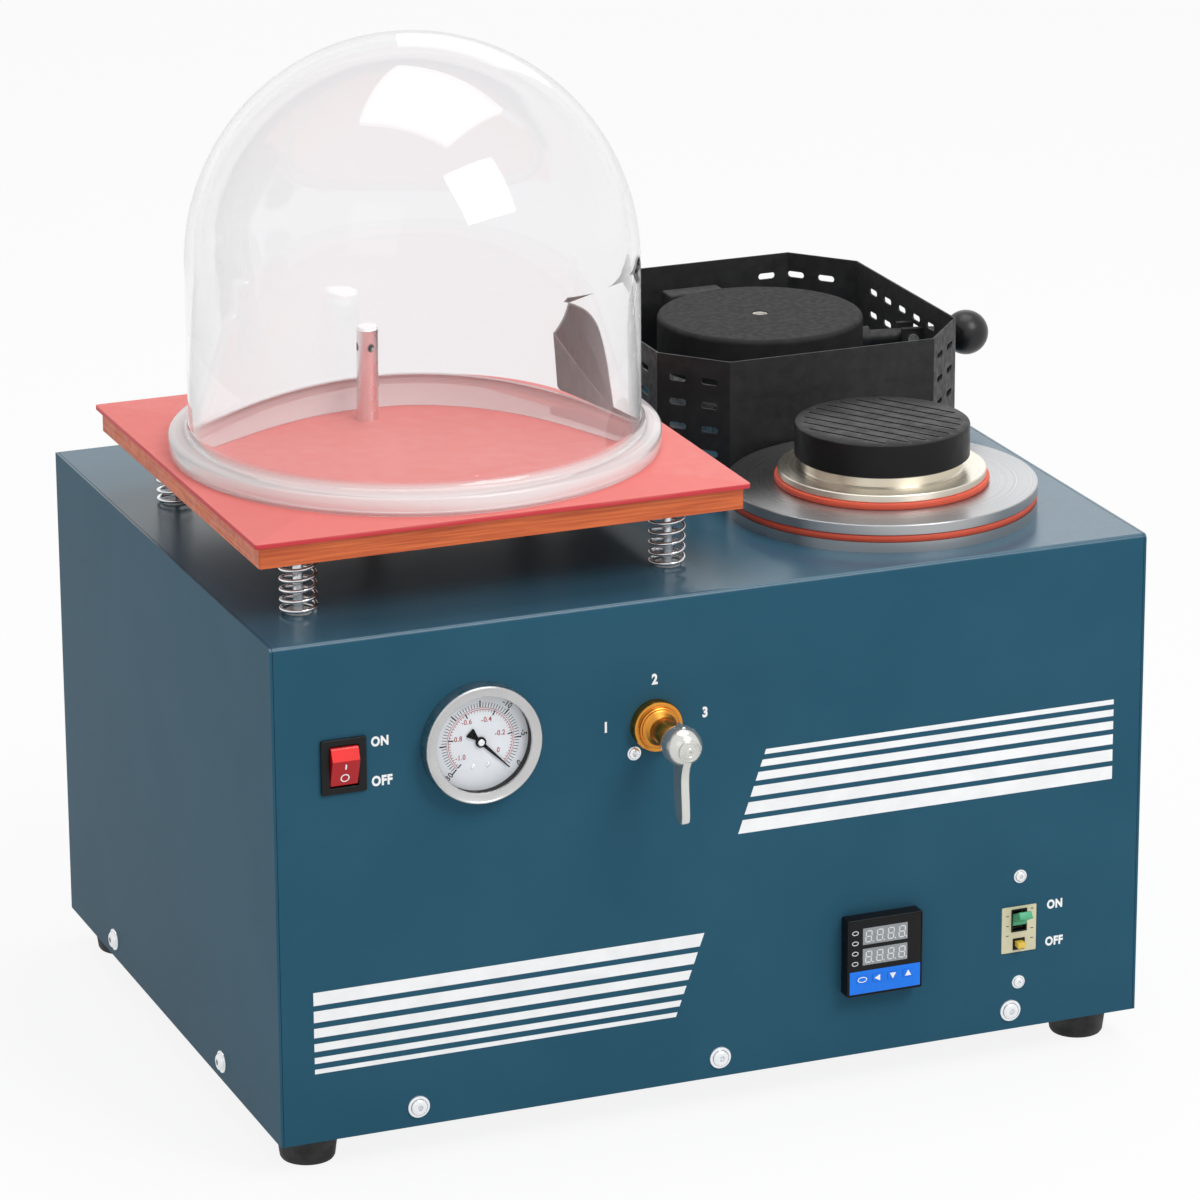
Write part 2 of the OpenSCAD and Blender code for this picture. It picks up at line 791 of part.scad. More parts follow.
module side_panel(side) {
    low = foot_h + pan_rim + 1;
    tall = deck_z - fold_r - 1 - low;
    reach = flange_w + sheet_t / 2;
    mid_x = side * (in_x - flange_w + reach / 2);
    color(teal) difference() {
        union() {
            translate([side * (body_w / 2 - sheet_t / 2), 0, 0]) rotate([90, 0, 90])
                linear_extrude(height = sheet_t, center = true) side_outline();
            translate([mid_x, 0, under_z - sheet_t]) box(reach, body_d - 2 * fold_r, sheet_t);
            for (y = [in_front_y + sheet_t / 2, in_back_y - sheet_t / 2])
                translate([mid_x, y, low]) box(reach, sheet_t, tall);
        }
        at_cover_screws() screw_hole(screw_d);
    }
}

module side_panel_left() {
    side_panel(-1);
}

module side_panel_right() {
    side_panel(1);
}

module rear_panel() {
    color(teal) difference() {
        translate([-in_x + seam_gap, in_back_y, foot_h])
            cube([2 * (in_x - seam_gap), sheet_t, under_z - foot_h]);
        for (x = louvre_xs, i = [0 : louvre_rows - 1])
            translate([x, back_y - sheet_t / 2, foot_h + louvre_z + louvre_step * i])
                cube([louvre_w, 3 * sheet_t, louvre_t], center = true);
        translate([inlet_x, back_y - sheet_t / 2, foot_h + inlet_z])
            cube([inlet_w + 2 * hole_gap, 3 * sheet_t, inlet_h + 2 * hole_gap], center = true);
        translate([exhaust_x, back_y + 1, exhaust_z]) rotate([90, 0, 0])
            cylinder(h = 3 * sheet_t, d = pipe_d + 2 * hole_gap);
        at_cover_screws() screw_hole(screw_d);
    }
}

module power_inlet() {
    frame_x = 40;
    frame_z = 30;
    frame_out = 2.5;
    pin_w = 2;
    pin_h = 4;
    color(black) translate([inlet_x, back_y, foot_h + inlet_z]) {
        difference() {
            union() {
                translate([-frame_x / 2, 0, -frame_z / 2]) cube([frame_x, frame_out, frame_z]);
                translate([-inlet_w / 2, -inlet_len, -inlet_h / 2]) cube([inlet_w, inlet_len + eps, inlet_h]);
            }
            translate([-inlet_w / 2 + 2, -inlet_len + 4, -inlet_h / 2 + 2])
                cube([inlet_w - 4, inlet_len + 4, inlet_h - 4]);
        }
        for (p = [[-7, -2], [0, 2], [7, -2]])
            translate([p[0] - pin_w / 2, -inlet_len + 3, p[1] - pin_h / 2]) cube([pin_w, inlet_len - 6, pin_h]);
    }
}

module base_pan() {
    color(teal) difference() {
        translate([-in_x, in_front_y, foot_h]) cube([2 * in_x, in_back_y - in_front_y, pan_rim]);
        translate([-in_x + sheet_t, in_front_y + sheet_t, foot_h + sheet_t])
            cube([2 * (in_x - sheet_t), in_back_y - in_front_y - 2 * sheet_t, pan_rim]);
        at_cover_screws() screw_hole(screw_d);
        at_feet() translate([0, 0, foot_h - 1]) cylinder(h = 4, d = screw_d + 2 * hole_gap);
        for (x = [100, 130, 160, 190, 220], y = [80, 110, 140])
            translate([x, y, foot_h - 1]) cylinder(h = 4, d = 12);
    }
}

module button_screws() {
    color(steel) {
        at_cover_screws() button_screw(screw_len);
        at_feet() translate([0, 0, foot_seat]) rotate([180, 0, 0]) button_screw(foot_h - foot_seat + 6);
    }
}

module rubber_feet() {
    edge = 2;
    color(black) at_feet() difference() {
        union() {
            cylinder(h = edge, d1 = foot_tip_d - 2 * edge, d2 = foot_tip_d);
            translate([0, 0, edge]) cylinder(h = foot_h - edge, d1 = foot_tip_d, d2 = foot_top_d);
        }
        translate([0, 0, -1]) cylinder(h = foot_seat + 1, d = screw_flange_d + 2);
        cylinder(h = foot_h + 1, d = screw_d + 2 * hole_gap);
    }
}

/* Vacuum table */

module table_plate() {
    color(brown) difference() {
        translate([table_x, table_y, plate_z])
            linear_extrude(height = plate_t) soft_square(plate_w, plate_corner_r);
        at_springs() translate([0, 0, plate_z - 1]) cylinder(h = bolt_in + 1, d = bolt_d + 2 * hole_gap);
        translate([nipple_x, nipple_y, plate_z - 1]) cylinder(h = plate_t + 2, d = nipple_d + 2 * hole_gap);
    }
}

module table_pad() {
    color(salmon) difference() {
        translate([table_x, table_y, pad_z])
            linear_extrude(height = pad_t) soft_square(pad_w, plate_corner_r);
        translate([nipple_x, nipple_y, pad_z - 1]) cylinder(h = pad_t + 2, d = nipple_d + 2 * hole_gap);
    }
}

module guide_bolts() {
    color(steel) at_springs() {
        translate([0, 0, bush_low - bolt_head_h]) cylinder(h = bolt_head_h, d = bolt_head_d, $fn = 6);
        translate([0, 0, bush_low - eps]) cylinder(h = plate_z + bolt_in - bush_low + eps, d = bolt_d);
    }
}

module guide_bushes() {
    color(white) at_springs() difference() {
        union() {
            translate([0, 0, bush_low]) cylinder(h = bush_len + sheet_t, d = bush_d);
            translate([0, 0, deck_z]) cylinder(h = bush_flange_t, d = bush_flange_d);
        }
        translate([0, 0, bush_low - 1])
            cylinder(h = bush_len + sheet_t + bush_flange_t + 2, d = bolt_d + 2 * run_gap);
    }
}

module table_springs() {
    color(steel) at_springs() translate([0, 0, deck_z]) wire(spring_path, wire_d, wire_sides);
}

module vacuum_nipple() {
    hole_drop = 9;
    hole_z = top_z + nipple_h - hole_drop;
    low = deck_z - nipple_in;
    color(steel) translate([nipple_x, nipple_y, 0]) difference() {
        union() {
            translate([0, 0, low]) cylinder(h = top_z + nipple_h - low - 1, d = nipple_d);
            translate([0, 0, top_z + nipple_h - 1]) cylinder(h = 1, d1 = nipple_d, d2 = nipple_d - 2);
            translate([0, 0, plate_z - collar_t]) cylinder(h = collar_t, d = collar_d);
        }
        translate([0, 0, low - 1]) cylinder(h = top_z + nipple_h - low - 3, d = nipple_bore);
        for (a = [0, 90])
            translate([0, 0, hole_z]) rotate([0, 90, a])
                cylinder(h = nipple_d + 2, d = nipple_hole_d, center = true);
    }
}

module table_port() {
    low = under_z - port_len;
    color(brass) translate([nipple_x, nipple_y, 0]) difference() {
        union() {
            translate([0, 0, under_z - port_flange_t]) cylinder(h = port_flange_t, d = port_flange_d);
            translate([0, 0, low + barb_len]) cylinder(h = port_len - barb_len - 1, d = port_d);
            translate([0, 0, low]) cylinder(h = barb_len + 1, d = barb_d);
        }
        translate([0, 0, low + barb_len + barb_step]) cylinder(h = port_len, d = nipple_d + 2 * run_gap);
        translate([0, 0, low - 1]) cylinder(h = port_len, d = fitting_bore);
    }
}

// The half outline of a dome on a straight wall, of radius r, standing on the X axis.
module dome_half(r) {
    square([r, jar_wall_h]);
    intersection() {
        translate([0, jar_wall_h]) circle(r = r);
        square([r + 1, jar_wall_h + r + 1]);
    }
}

module jar_section() {
    r = jar_d / 2;
    corner_r = r + jar_fillet_r;
    difference() {
        union() {
            dome_half(r);
            square([jar_flange_d / 2, jar_flange_t]);
            difference() {
                square([corner_r, jar_flange_t + jar_fillet_r]);
                translate([corner_r, jar_flange_t + jar_fillet_r]) circle(r = jar_fillet_r);
            }
        }
        dome_half(r - jar_t);
    }
}

module bell_jar() {
    color(clear) translate([table_x, table_y, top_z]) rotate_extrude($fn = 128) jar_section();
}

/* Power switch */

module rocker_frame() {
    wall = 3;
    color(black) on_front(rocker_x, rocker_z) difference() {
        union() {
            box(frame_w, frame_h, frame_t);
            translate([0, 0, -housing_len]) box(frame_w - wall, frame_h - wall, housing_len + eps);
        }
        translate([0, 0, -housing_len + wall])
            box(key_w + 2 * hole_gap, key_h + 4 * hole_gap, housing_len + frame_t);
        translate([0, 0, -key_axis_in]) rotate([0, 90, 0])
            cylinder(h = key_w + 4, d = key_pin_d + 2 * run_gap, center = true);
    }
}

module rocker() {
    half = key_h / 2;
    color([0.80, 0.08, 0.06]) on_front(rocker_x, rocker_z) translate([0, 0, -key_axis_in]) {
        rotate([key_tilt, 0, 0]) rotate([90, 0, 90]) linear_extrude(height = key_w, center = true)
            polygon([[-half, -2], [-half, 3], [0, 4.6], [half, 3], [half, -2], [3, -8], [-3, -8]]);
        rotate([0, 90, 0]) cylinder(h = key_w + 3, d = key_pin_d, center = true);
    }
}

/* Vacuum gauge */

module gauge_case() {
    stem_out = 15;
    stem_bore = 4;
    chamfer = 1.5;
    color(steel) on_front(gauge_x, gauge_z) difference() {
        union() {
            cylinder(h = gauge_t - bezel_lip, d = gauge_d);
            translate([0, 0, gauge_t - bezel_lip])
                cylinder(h = bezel_lip, d1 = gauge_d, d2 = gauge_d - 2 * chamfer);
            translate([0, 0, -gauge_len]) cylinder(h = gauge_len + eps, d = gauge_case_d);
            translate([0, 0, -gauge_len - stem_out]) cylinder(h = stem_out + 1, d = barb_d);
        }
        translate([0, 0, gauge_t - bezel_lip - 1]) cylinder(h = bezel_lip + 2, d = gauge_d - 2 * gauge_lip);
        translate([0, 0, dial_z]) cylinder(h = gauge_t - bezel_lip - dial_z, d = dial_seat_d);
        translate([0, 0, -gauge_len + gauge_wall])
            cylinder(h = gauge_len + gauge_t, d = gauge_case_d - 2 * gauge_wall - 2);
        translate([0, 0, -gauge_len - stem_out - 1])
            cylinder(h = stem_out + gauge_wall + 2, d = stem_bore);
    }
}

module gauge_dial() {
    color(white) on_front(gauge_x, gauge_z) translate([0, 0, dial_z])
        ring(dial_seat_d - 2 * hole_gap, needle_pin_d + 2 * run_gap, dial_t);
}

module gauge_lens() {
    color(clear) on_front(gauge_x, gauge_z) translate([0, 0, gauge_t - bezel_lip - lens_t])
        cylinder(h = lens_t, d = dial_seat_d - 2 * hole_gap);
}

module gauge_needle() {
    above_dial = 0.4;
    blade_t = 0.8;
    hub_t = 2;
    pin_in = 3;
    root = 1.3;
    tip = 0.25;
    tail = 2.6;
    color(black) on_front(gauge_x, gauge_z) translate([0, 0, dial_z + dial_t + above_dial]) {
        translate([0, 0, -dial_t - above_dial - pin_in])
            cylinder(h = dial_t + above_dial + pin_in + 1, d = needle_pin_d);
        cylinder(h = hub_t, d = 3 * needle_pin_d);
        rotate([0, 0, -needle_rest]) linear_extrude(height = blade_t)
            polygon([[0, -root], [needle_len, -tip], [needle_len, tip], [0, root],
                     [-needle_tail, tail], [-needle_tail, -tail]]);
    }
}

/* Valve */

module valve_body() {
    color(brass) on_front(valve_x, valve_z) translate([0, 0, -sheet_t]) difference() {
        union() {
            translate([0, 0, -valve_len]) cylinder(h = valve_len, d = valve_d);
            for (a = [0, 180, 270]) translate([0, 0, -valve_mid]) rotate([0, 90, a]) {
                cylinder(h = port_out - barb_len, d = port_tube_d);
                cylinder(h = port_out, d = barb_d);
            }
        }
        translate([0, 0, -valve_len + 2]) cylinder(h = valve_len, d = plug_d + 2 * run_gap);
        for (a = [0, 180, 270]) translate([0, 0, -valve_mid]) rotate([0, 90, a])
            cylinder(h = port_out + 1, d = fitting_bore);
    }
}

module valve_rosette() {
    color(brass) on_front(valve_x, valve_z) difference() {
        union() {
            cylinder(h = rosette_t, d = rosette_d);
            translate([0, 0, rosette_t]) cylinder(h = 3, d1 = rosette_d - 4, d2 = rosette_d - 7);
            cylinder(h = neck_len, d = neck_d);
        }
        translate([0, 0, -1]) cylinder(h = neck_len + 2, d = stem_d + 2 * run_gap);
    }
}

module valve_plug() {
    color(steel) on_front(valve_x, valve_z) translate([0, 0, -sheet_t]) difference() {
        union() {
            translate([0, 0, -plug_len]) cylinder(h = plug_len - hole_gap, d = plug_d);
            translate([0, 0, -plug_len + 1]) cylinder(h = plug_len + sheet_t + hub_out - 2, d = stem_d);
        }
        for (a = [0, 90, 180]) translate([0, 0, -valve_mid]) rotate([0, 90, a])
            cylinder(h = plug_d, d = fitting_bore);
    }
}

module valve_lever() {
    arm_r = 90;
    color(steel) on_front(valve_x, valve_z) translate([0, 0, hub_out]) difference() {
        union() {
            intersection() {
                sphere(d = hub_d);
                translate([0, 0, -hub_d / 2 + 1]) cylinder(h = hub_d - 2.5, d = hub_d);
            }
            intersection() {
                translate([-lever_w / 2, -lever_len, -lever_t / 2]) cube([lever_w, lever_len, lever_t]);
                rotate([0, 90, 0]) translate([arm_r - lever_t / 2, 0, 0])
                    cylinder(h = lever_w + 2, r = arm_r, center = true);
            }
        }
        translate([0, 0, -hub_out]) cylinder(h = hub_out - 1, d = stem_d + 2 * hole_gap);
    }
}

module lever_cap() {
    low = hub_d / 2 - 1.5;
    color(steel) on_front(valve_x, valve_z) translate([0, 0, hub_out + low]) difference() {
        union() {
            cylinder(h = cap_t, d = cap_d);
            translate([-0.8, 1.5, cap_t - eps]) cube([1.6, cap_d / 2 - 2, 0.8]);
        }
        translate([0, 0, cap_t - 0.4]) ring(cap_d - 2.4, cap_d - 3.6, 1);
    }
}

/* Controller */

module at_button(i) {
    on_front(control_x, control_z)
        translate([(i - 1.5) * button_step, -button_drop, control_seat]) children();
}

module button_cuts() {
    for (i = [0 : 3]) at_button(i) translate([0, 0, -button_well])
        box(button_w + 2 * hole_gap, button_h + 2 * hole_gap, button_well + face_t + 2);
}

module controller_case() {
    color(black) difference() {
        on_front(control_x, control_z) difference() {
            union() {
                box(control_w, control_w, control_t);
                translate([0, 0, -control_len]) box(control_case_w, control_case_w, control_len + eps);
            }
            translate([0, 0, control_seat]) box(control_in, control_in, face_t + 2);
        }
        button_cuts();
    }
}

module controller_face() {
    color([0.03, 0.03, 0.05]) difference() {
        on_front(control_x, control_z) translate([0, 0, control_seat]) box(face_w, face_w, face_t);
        button_cuts();
    }
}

module control_button(i) {
    color([0.15, 0.35, 0.75]) at_button(i) box(button_w, button_h, face_t + button_out);
}

module key_set() {
    control_button(0);
}

module key_shift() {
    control_button(1);
}

module key_down() {
    control_button(2);
}

module key_up() {
    control_button(3);
}

/* Breaker */

module breaker_body() {
    slot_w_in = toggle_w + 2 * hole_gap;
    color(cream) on_front(breaker_x, breaker_z) difference() {
        union() {
            translate([0, 0, -sheet_t - breaker_len]) box(breaker_w, breaker_h, breaker_len);
            translate([0, 0, -sheet_t - 1]) box(window_w, window_h, sheet_t + 1);
        }
        translate([0, toggle_up, -drum_axis_in]) rotate([0, 90, 0])
            cylinder(h = slot_w_in, d = drum_d + 2 * hole_gap, center = true);
        translate([0, toggle_up, -drum_axis_in]) rotate([0, 90, 0])
            cylinder(h = slot_w_in + 6, d = 2 + 2 * run_gap, center = true);
        translate([0, -test_drop, -4]) box(test_w + 2 * hole_gap, test_w + 2 * hole_gap, 6);
        for (s = [-1, 1]) translate([0, s * breaker_screw_step / 2, -sheet_t - 8])
            cylinder(h = 9, d = small_screw_d + 2 * hole_gap);
    }
}

module breaker_toggle() {
    color([0.10, 0.50, 0.25]) on_front(breaker_x, breaker_z) translate([0, toggle_up, -drum_axis_in]) {
        rotate([0, 90, 0]) cylinder(h = toggle_w, d = drum_d, center = true);
        rotate([0, 90, 0]) cylinder(h = toggle_w + 5, d = 2, center = true);
        rotate([-toggle_turn, 0, 0]) translate([0, 0, 3]) box(toggle_w, 4.6, toggle_out - 3);
    }
}

module breaker_button() {
    color([0.90, 0.75, 0.15]) on_front(breaker_x, breaker_z)
        translate([0, -test_drop, -4 + test_travel + 0.2]) box(test_w, test_w, 4 + 0.8);
}

module at_panel_screws() {
    for (s = [-1, 1]) on_front(breaker_x, breaker_z + s * breaker_screw_step / 2) children();
    on_front(valve_x + lone_dx, valve_z + lone_dz) children();
}

module panel_screws() {
    shank = 7;
    rim_t = 1;
    dome_t = 1.2;
    slot_w = 0.8;
    slot_l = 3.6;
    color(steel) at_panel_screws() difference() {
        union() {
            translate([0, 0, -shank]) cylinder(h = shank + eps, d = small_screw_d);
            cylinder(h = rim_t, d = small_head_d);
            translate([0, 0, rim_t - eps]) cylinder(h = dome_t, d1 = small_head_d, d2 = small_head_d / 2);
        }
        for (a = [0, 90]) rotate([0, 0, a]) translate([0, 0, rim_t]) box(slot_w, slot_l, 2 * dome_t);
    }
}

/* Casting station */

module at_cast(z) {
    translate([cast_x, cast_y, z]) children();
}

module casting_chamber() {
    low = -chamber_len;
    outer_d = chamber_d + 2 * chamber_t;
    color(steel) at_cast(deck_z) {
        difference() {
            union() {
                cylinder(h = cast_flange_t, d = cast_flange_d);
                translate([0, 0, low]) cylinder(h = chamber_len + 1, d = outer_d);
                translate([0, 0, chamber_port_z - deck_z]) rotate([0, -90, 0])
                    cylinder(h = cast_x - chamber_port_x - barb_len, d = port_tube_d);
                translate([0, 0, chamber_port_z - deck_z]) rotate([0, -90, 0])
                    cylinder(h = cast_x - chamber_port_x, d = barb_d);
            }
            translate([0, 0, low - 1]) cylinder(h = chamber_len + cast_flange_t + 2, d = chamber_d);
            translate([0, 0, chamber_port_z - deck_z]) rotate([0, -90, 0])
                cylinder(h = cast_x - chamber_port_x + 1, d = fitting_bore);
        }
        translate([0, 0, low]) cylinder(h = chamber_t, d = chamber_d - 2 * hole_gap);
    }
}

module large_gasket() {
    color(orange) at_cast(stack_1) ring(cast_flange_d - 0.6, chamber_d + 1, gasket_a_t);
}

module adapter_plate() {
    color(steel) at_cast(stack_2) ring(cast_flange_d, adapter_bore, adapter_t);
}

module small_gasket() {
    color(orange) at_cast(stack_3) ring(gasket_b_d, adapter_bore + 2, gasket_b_t);
}

module flask_seat() {
    color(steel) at_cast(stack_4) difference() {
        union() {
            cylinder(h = seat_t, d = seat_d);
            cylinder(h = seat_t + step_h, d = step_d);
        }
        translate([0, 0, -1]) cylinder(h = seat_t + step_h + 2, d = seat_bore);
    }
}

module flask_pad() {
    slots = floor(groove_reach / groove_step / 2);
    color(black) at_cast(stack_6) difference() {
        cylinder(h = flask_pad_t, d = flask_pad_d);
        intersection() {
            translate([0, 0, -1]) cylinder(h = flask_pad_t + 2, d = groove_reach);
            rotate([0, 0, groove_turn]) for (i = [-slots : slots])
                translate([-groove_reach / 2, i * groove_step - groove_w / 2, -2])
                    cube([groove_reach, groove_w, flask_pad_t + 4]);
        }
    }
}

/* Furnace */

module at_furnace(z) {
    translate([furnace_x, furnace_y, z]) children();
}

// The cut corner's length along X when the wall moves in by t.
function inset_cut(t) = cut_x - t + t * (norm([cut_x, cut_y]) - cut_x) / cut_y;

module guard_outline(t) {
    hx = guard_w / 2 - t;
    hy = guard_d / 2 - t;
    cx = inset_cut(t);
    cy = cx * cut_y / cut_x;
    polygon([[-hx, -hy + cy], [-hx + cx, -hy], [hx - cx, -hy], [hx, -hy + cy],
             [hx, hy - cy], [hx - cx, hy], [-hx + cx, hy], [-hx, hy - cy]]);
}

module slot_shape() {
    square([slot_len - slot_w, slot_w], center = true);
    for (s = [-1, 1]) translate([s * (slot_len - slot_w) / 2, 0]) circle(d = slot_w, $fn = 24);
}

// Columns of slots along the angle a, the first of them at p; from skip_from on they lack the middle rows.
module slot_run(p, a, columns, skip_from) {
    for (c = [0 : columns - 1], r = [0 : 3])
        if (c < skip_from || r == 0 || r == 3)
            translate([p[0], p[1], guard_h - row_drop - r * row_step]) rotate([0, 0, a])
                translate([c * slot_step, 0, 0]) rotate([90, 0, 0])
                    linear_extrude(height = 8 * guard_t, center = true) slot_shape();
}

// One side's slots, for the side whose middle is at p and which runs along the angle a.
module side_slots(p, a, columns) {
    half = (columns - 1) / 2 * slot_step;
    slot_run([p[0] - half * cos(a), p[1] - half * sin(a)], a, columns, columns);
}

module furnace_guard() {
    hx = guard_w / 2;
    hy = guard_d / 2;
    corner_a = atan2(cut_y, cut_x);
    mid_x = hx - cut_x / 2;
    mid_y = hy - cut_y / 2;
    long_n = 6;
    corner_n = 2;
    bend_y = hy - cut_y;
    along = slot_step * [-cos(corner_a), sin(corner_a)];
    past_corner = (corner_n + 1) * slot_step - norm([cut_x, cut_y]);
    color(black) at_furnace(deck_z) difference() {
        union() {
            linear_extrude(height = guard_h) difference() {
                guard_outline(0);
                guard_outline(guard_t);
            }
            linear_extrude(height = guard_t) difference() {
                guard_outline(0);
                guard_outline(guard_foot);
            }
        }
        side_slots([-hx, 0], 90, long_n);
        slot_run([hx, bend_y - right_start], -90, long_n, 2);
        slot_run([hx + along[0], bend_y + along[1]], 180 - corner_a, corner_n, corner_n);
        slot_run([hx - cut_x - past_corner, hy], 180, 1, 1);
        side_slots([-mid_x, mid_y], corner_a, corner_n);
        side_slots([mid_x, -mid_y], corner_a, corner_n);
        side_slots([-mid_x, -mid_y], -corner_a, corner_n);
        translate([hx, lever_slot_y, lever_slot_low])
            box(8 * guard_t, rod_d + 3, lever_slot_top - lever_slot_low);
    }
}

module furnace_shell() {
    color(steel) at_furnace(0) difference() {
        translate([0, 0, furnace_low]) cylinder(h = mouth_z - furnace_low, d = shell_d);
        translate([0, 0, furnace_low + shell_t])
            cylinder(h = mouth_z - furnace_low, d = shell_d - 2 * shell_t);
        translate([0, 0, probe_z]) rotate([0, -90, 0])
            cylinder(h = shell_d, d = probe_d + 2 * hole_gap);
    }
    color(steel) at_furnace(deck_z) ring(shell_flange_d, shell_d + 2 * hole_gap, shell_flange_t);
    color(black) at_furnace(deck_z) translate([-terminal_in, terminal_back, 0])
        box(terminal_l, terminal_w, terminal_h);
}

module furnace_lining() {
    color(white) at_furnace(0) difference() {
        translate([0, 0, lining_low]) cylinder(h = mouth_z - lining_low, d = lining_d);
        translate([0, 0, bore_low]) cylinder(h = mouth_z, d = bore_d);
        translate([0, 0, probe_z]) rotate([0, -90, 0]) cylinder(h = shell_d, d = probe_d + 2 * hole_gap);
    }
}

module heating_coil() {
    color([0.55, 0.35, 0.25]) at_furnace(coil_low) wire(coil_path, coil_wire_d, wire_sides);
}

module crucible() {
    color([0.20, 0.20, 0.22]) at_furnace(bore_low) difference() {
        cylinder(h = crucible_h, d1 = crucible_d - 8, d2 = crucible_d);
        translate([0, 0, crucible_t])
            cylinder(h = crucible_h, d1 = crucible_d - 8 - 2 * crucible_t, d2 = crucible_d - 2 * crucible_t);
    }
}

module thermocouple() {
    head_d = 14;
    color(steel) at_furnace(probe_z) rotate([0, -90, 0]) {
        translate([0, 0, bore_d / 2 + 1]) cylinder(h = shell_d / 2 - bore_d / 2 + probe_out, d = probe_d);
        translate([0, 0, shell_d / 2 + hole_gap]) cylinder(h = 4, d = head_d);
        translate([0, 0, shell_d / 2 + probe_out - 10]) cylinder(h = 14, d = head_d);
    }
}

// Places children on the lid rod's line, with +X away from the lid's centre.
module at_rod() {
    at_furnace(rod_z) rotate([0, 0, -rod_turn]) children();
}

module furnace_lid() {
    r = lid_d / 2;
    color(black) difference() {
        at_furnace(lid_z) difference() {
            union() {
                cylinder(h = lid_h - lid_edge_r, d = lid_d);
                cylinder(h = lid_h, r = r - lid_edge_r);
                translate([0, 0, lid_h - lid_edge_r]) rotate_extrude()
                    translate([r - lid_edge_r, 0]) circle(r = lid_edge_r);
            }
            translate([0, 0, -1]) cylinder(h = lid_fill_h + 1, d = lid_d - 2 * lid_wall);
            translate([0, 0, -1]) cylinder(h = lid_h + 2, d = lid_hole_d);
        }
        at_rod() translate([r - lid_wall - 1, 0, 0]) rotate([0, 90, 0])
            cylinder(h = lid_wall + 2, d = rod_d + 2 * hole_gap);
    }
}

module lid_lining() {
    color(white) at_furnace(lid_z) ring(lid_d - 2 * lid_wall - 2 * hole_gap, lid_hole_d, lid_fill_h);
}

module lid_rod() {
    start = lid_d / 2 - lid_wall + hole_gap;
    color(black) at_rod() difference() {
        union() {
            translate([start, 0, 0]) rotate([0, 90, 0]) cylinder(h = knob_out + 4 - start, d = rod_d);
            translate([lid_d / 2 + hole_gap, 0, 0]) rotate([0, 90, 0]) cylinder(h = 5, d = rod_d + 5);
        }
        translate([pivot_out, 0, 0]) rotate([90, 0, 0])
            cylinder(h = rod_d + 2, d = pivot_d + 2 * run_gap, center = true);
    }
}

module ball_knob() {
    color(black) at_rod() difference() {
        translate([knob_out, 0, 0]) sphere(d = knob_d);
        translate([knob_out - knob_d, 0, 0]) rotate([0, 90, 0])
            cylinder(h = knob_d + 4, d = rod_d + 2 * hole_gap);
    }
}

module pivot_lugs() {
    reach_in = 7;
    tall = 14;
    gap = rod_d / 2 + hole_gap;
    color(black) intersection() {
        at_rod() difference() {
            for (s = [-1, 1]) translate([pivot_out + 3, s * (gap + lug_t / 2), -tall / 2])
                box(2 * reach_in + 6, lug_t, tall);
            translate([pivot_out, 0, 0]) rotate([90, 0, 0])
                cylinder(h = 4 * rod_d, d = pivot_d + 2 * hole_gap, center = true);
        }
        at_furnace(deck_z) translate([0, -guard_d / 2, 0]) cube([wall_in_x, guard_d, guard_h]);
    }
}

module pivot_pin() {
    len = rod_d + 2 * hole_gap + 2 * lug_t + 1.6;
    head_t = 1.6;
    color(steel) at_rod() translate([pivot_out, 0, 0]) rotate([90, 0, 0]) {
        cylinder(h = len, d = pivot_d, center = true);
        translate([0, 0, len / 2 - 0.8 + hole_gap - 0.3]) cylinder(h = head_t, d = pivot_d + 3);
    }
}

/* Vacuum pump and pipes */

module pump_case() {
    boss_h = 10;
    color(cast_grey) difference() {
        union() {
            translate([pump_x, pump_y, pump_low]) box(pump_l, pump_w, pump_h);
            translate([suction_x, pump_y, pump_top - eps]) cylinder(h = boss_h, d = port_tube_d);
            translate([suction_x, pump_y, pump_top]) cylinder(h = boss_h + barb_len, d = barb_d);
            translate([gauge_port_x, pump_y, pump_top - eps]) cylinder(h = boss_h, d = port_tube_d);
            translate([gauge_port_x, pump_y, pump_top]) cylinder(h = boss_h + barb_len, d = barb_d);
            translate([exhaust_x, pump_y + pump_w / 2 - eps, exhaust_z]) rotate([-90, 0, 0])
                cylinder(h = boss_h, d = port_tube_d);
            translate([exhaust_x, pump_y + pump_w / 2, exhaust_z]) rotate([-90, 0, 0])
                cylinder(h = boss_h + barb_len, d = barb_d);
        }
        for (x = [suction_x, gauge_port_x])
            translate([x, pump_y, pump_top - 20]) cylinder(h = 60, d = fitting_bore);
        translate([exhaust_x, pump_y + pump_w / 2 - 20, exhaust_z]) rotate([-90, 0, 0])
            cylinder(h = 60, d = fitting_bore);
        translate([motor_x + 1, pump_y, motor_z]) rotate([0, -90, 0])
            cylinder(h = 30, d = shaft_d + 2 * run_gap);
    }
}

